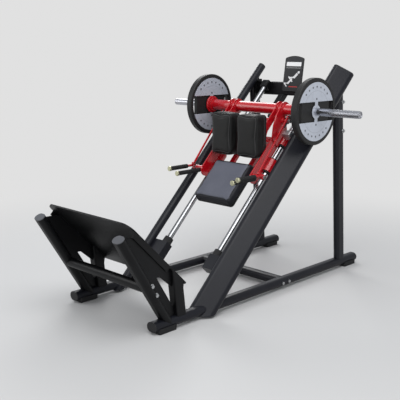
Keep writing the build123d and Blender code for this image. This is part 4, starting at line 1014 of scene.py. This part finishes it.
@dataclass
class Sled:
    """Load bar, horns, bearings, carriage and handles."""

    nodes: dict[str, bpy.types.Object]
    painted: tuple[str, ...] = (
        "load_bar",
        "load_bar_collars",
        "bearing_housings",
        "cheek_plates",
        "carriage_arms",
        "carriage_cross_plates",
        "carriage_tie_bar",
        "pad_rails",
        "pad_arms",
    )
    pad_arm_width: float = 0.008
    arm_width: float = 0.01
    boss_length: float = 0.012

    def dress(self) -> None:
        """Gives each piece of the sled its finish."""
        groups = {
            Finish.RED: self.painted,
            Finish.HORN: ("left_horn", "right_horn", "horn_caps"),
            Finish.GREY_PLASTIC: ("bearing_bushes",),
            Finish.RUBBER: ("bearing_seals", "fixed_grips"),
            Finish.BLACK_PLASTIC: ("shoulder_pad_boards", "back_pad_board"),
        }
        for finish, names in groups.items():
            for name in names:
                dress(self.nodes[name], finish.material())
        knob_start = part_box("fixed_grips")[0].y + 0.0005
        dress(
            self.nodes["fixed_grip_stems"],
            Finish.RED.material(),
            ((Finish.KNOB.material(), lambda place: place.y < knob_start),),
        )
        tube_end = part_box("right_lever")[0].x + 0.003
        dress(
            self.nodes["handle_tubes"],
            Finish.RED.material(),
            ((Finish.ZINC.material(), lambda place: abs(place.x) > tube_end),),
        )
        LOG.info("sled: dressed")

    def pads(self) -> list[Pad]:
        """The back pad and the two shoulder pads."""
        finishes = (Finish.GREY_VINYL, Finish.GREY_PIPING, "grey_vinyl")
        pads = [Pad("back_cushion", "back_pad", *finishes, SLOPE_OUT, -SLOPE_DOWN)]
        facing, upward = Vector((0, -1, 0)), Vector((0, 0, 1))
        for hand in SIDES:
            name, node = f"{hand}_shoulder_cushion", f"{hand}_shoulder_pad"
            # The shoulder pads' piping is lighter than their vinyl as a painted highlight along the seams.
            finishes = (Finish.BLACK_VINYL, Finish.BLACK_PIPING, "black_vinyl")
            pads.append(Pad(name, node, *finishes, facing, upward, swell=0.006))
        return pads

    def welds(self) -> None:
        """Lays the weld beads where the arms meet the load bar."""
        low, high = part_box("load_bar")
        middle = (low + high) / 2
        radius = (high.z - low.z) / 2
        plan = (("pad_arms", self.pad_arm_width, 0.0), ("carriage_arms", self.arm_width, self.boss_length))
        for node, width, boss in plan:
            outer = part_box(node)[1].x - boss
            for hand, side in SIDES.items():
                for label, x in (("inner", outer - width), ("outer", outer)):
                    centre = Vector((side * x, middle.y, middle.z))
                    bead = WeldBead(f"{hand}_{node}_{label}_weld", "sled", centre, Vector((1, 0, 0)), radius)
                    bead.build(Finish.RED.material())


@dataclass
class Lock:
    """Lock shaft with its struts and cranks, the links and the two levers."""

    nodes: dict[str, bpy.types.Object]
    strut_inner: float = 0.2755
    pin_reach: float = 0.0095

    def dress(self) -> None:
        """Gives each piece of the lock its finish."""
        pin_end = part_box("right_lock_link")[0].x + self.pin_reach
        zinc = Finish.ZINC.material()
        shaft_ends = ((zinc, lambda place: abs(place.x) > self.strut_inner),)
        dress(self.nodes["lock_shaft"], Finish.RED.material(), shaft_ends)
        for hand in SIDES:
            dress(self.nodes[f"{hand}_lock_link"], Finish.RED.material())
            dress(self.nodes[f"{hand}_lever_grip"], Finish.RUBBER.material())
            knob_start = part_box(f"{hand}_lever_grip")[0].y + 0.0005
            rules = (
                (Finish.KNOB.material(), lambda place: place.y < knob_start),
                (zinc, lambda place: abs(place.x) < pin_end),
            )
            dress(self.nodes[f"{hand}_lever"], Finish.RED.material(), rules)
        LOG.info("lock: dressed")


@dataclass
class WeightPlates:
    """The two weight plates with their silver cover faces."""

    nodes: dict[str, bpy.types.Object]

    def dress(self) -> None:
        """Gives the plates their enamel and silver."""
        low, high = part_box("right_weight_plate")
        centre = Vector((0.0, (low.y + high.y) / 2, (low.z + high.z) / 2))
        silver = PlateSilver("plate_silver", centre).build()
        for hand in SIDES:
            dress(self.nodes[f"{hand}_weight_plate"], Finish.IRON.material())
            dress(self.nodes[f"{hand}_weight_plate_covers"], silver)
        LOG.info("weight plates: dressed")


# ---------------------------------------------------------------- studio
@dataclass
class Studio:
    """Pale floor, soft lights and the camera."""

    backdrop: float = 0.752
    floor_tone: float = 0.53
    floor_near: float = 1.3
    floor_far: float = 3.8
    floor_radius: float = 60.0
    floor_gap: float = 0.0004
    sky: Colour = (0.93, 0.96, 1.0)
    sky_strength: float = 0.55
    eye: Vector = field(default_factory=lambda: Vector((3.3651, -3.509, 1.637)))
    azimuth: float = 44.88
    pitch: float = 11.94
    lens: float = 64.76

    @staticmethod
    def grey(tone: float) -> tuple[float, ...]:
        """A tone as an opaque colour."""
        return (tone, tone, tone, 1.0)

    def floor(self) -> None:
        """A wide floor that fades into the backdrop."""
        shape = bmesh.new()
        bmesh.ops.create_circle(shape, cap_ends=True, segments=96, radius=self.floor_radius)
        tree = ShaderTree(bpy.data.materials.new("studio_floor"))
        away = tree.add("ShaderNodeVectorMath", {0: tree.place()}, operation="LENGTH").outputs["Value"]
        far = Signal(tree, away).step(self.floor_near, self.floor_far)
        gloss = 0.55 + 0.08 * tree.noise(0.004, 3.0, 0.6)
        matt = tree.add(
            "ShaderNodeBsdfPrincipled",
            {"Base Color": self.grey(self.floor_tone), "Roughness": gloss, "Specular IOR Level": 0.3},
        )
        glow = tree.add("ShaderNodeEmission", {"Color": self.grey(self.backdrop)})
        blend = tree.add("ShaderNodeMixShader", {0: far, 1: matt.outputs[0], 2: glow.outputs[0]})
        tree.add("ShaderNodeOutputMaterial", {"Surface": blend.outputs[0]})
        floor = mesh_object("studio_floor", shape, tree.owner)
        floor.location.z = -self.floor_gap

    def world(self) -> None:
        """Even light from all round, and the backdrop's own tone."""
        world = bpy.data.worlds.new("studio")
        bpy.context.scene.world = world
        tree = ShaderTree(world)
        seen = tree.add("ShaderNodeBackground", {"Color": self.grey(self.backdrop)})
        lit = tree.add("ShaderNodeBackground", {"Color": (*self.sky, 1.0), "Strength": self.sky_strength})
        direct = tree.add("ShaderNodeLightPath").outputs["Is Camera Ray"]
        blend = tree.add("ShaderNodeMixShader", {0: direct, 1: lit.outputs[0], 2: seen.outputs[0]})
        tree.add("ShaderNodeOutputWorld", {"Surface": blend.outputs[0]})

    def lights(self) -> None:
        """A large soft key from above, two fills from the foot plate's end and one light from behind."""
        target = Vector((0.0, 0.1, 0.7))
        plan = (
            ("key", (1.6, -1.2, 4.6), 3.6, 150.0),
            ("fill", (4.2, -3.4, 2.4), 2.6, 46.0),
            ("rim", (-3.2, 2.6, 3.2), 2.4, 90.0),
            ("side", (-3.4, -3.0, 2.6), 2.4, 50.0),
        )
        for name, place, size, power in plan:
            light = bpy.data.lights.new(name, "AREA")
            light.size = size
            light.energy = power
            holder = bpy.data.objects.new(name, light)
            holder.location = place
            holder.rotation_euler = (target - Vector(place)).to_track_quat("-Z", "Y").to_euler()
            bpy.context.scene.collection.objects.link(holder)

    def camera(self) -> None:
        """The camera, looking along the machine from the foot plate's end."""
        data = bpy.data.cameras.new("camera")
        data.lens = self.lens
        data.sensor_width = 36.0
        data.clip_end = 200.0
        holder = bpy.data.objects.new("camera", data)
        heading = Matrix.Rotation(math.radians(self.azimuth), 4, "Z")
        tilt = Matrix.Rotation(math.radians(90 - self.pitch), 4, "X")
        holder.matrix_world = Matrix.Translation(self.eye) @ heading @ tilt
        bpy.context.scene.collection.objects.link(holder)
        bpy.context.scene.camera = holder

    def build(self) -> None:
        """Sets up the whole studio."""
        self.floor()
        self.world()
        self.lights()
        self.camera()
        bpy.context.scene.view_settings.view_transform = "Standard"


def plain(bounds: tuple[Vector, Vector]) -> list[list[float]]:
    """Two corners as plain lists of numbers."""
    return [[round(float(value), 5) for value in corner] for corner in bounds]


def main() -> None:
    """Dresses the machine, adds its upholstery and sets up the studio."""
    logging.basicConfig(level=logging.INFO, format="%(name)s: %(message)s")
    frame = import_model()
    nodes = frame["nodes"]
    base = Base(nodes)
    base.dress()
    base.placard()
    sled = Sled(nodes)
    sled.dress()
    for pad in sled.pads():
        pad.build()
    sled.welds()
    Lock(nodes).dress()
    WeightPlates(nodes).dress()
    Studio().build()


if __name__ == "__main__":
    main()
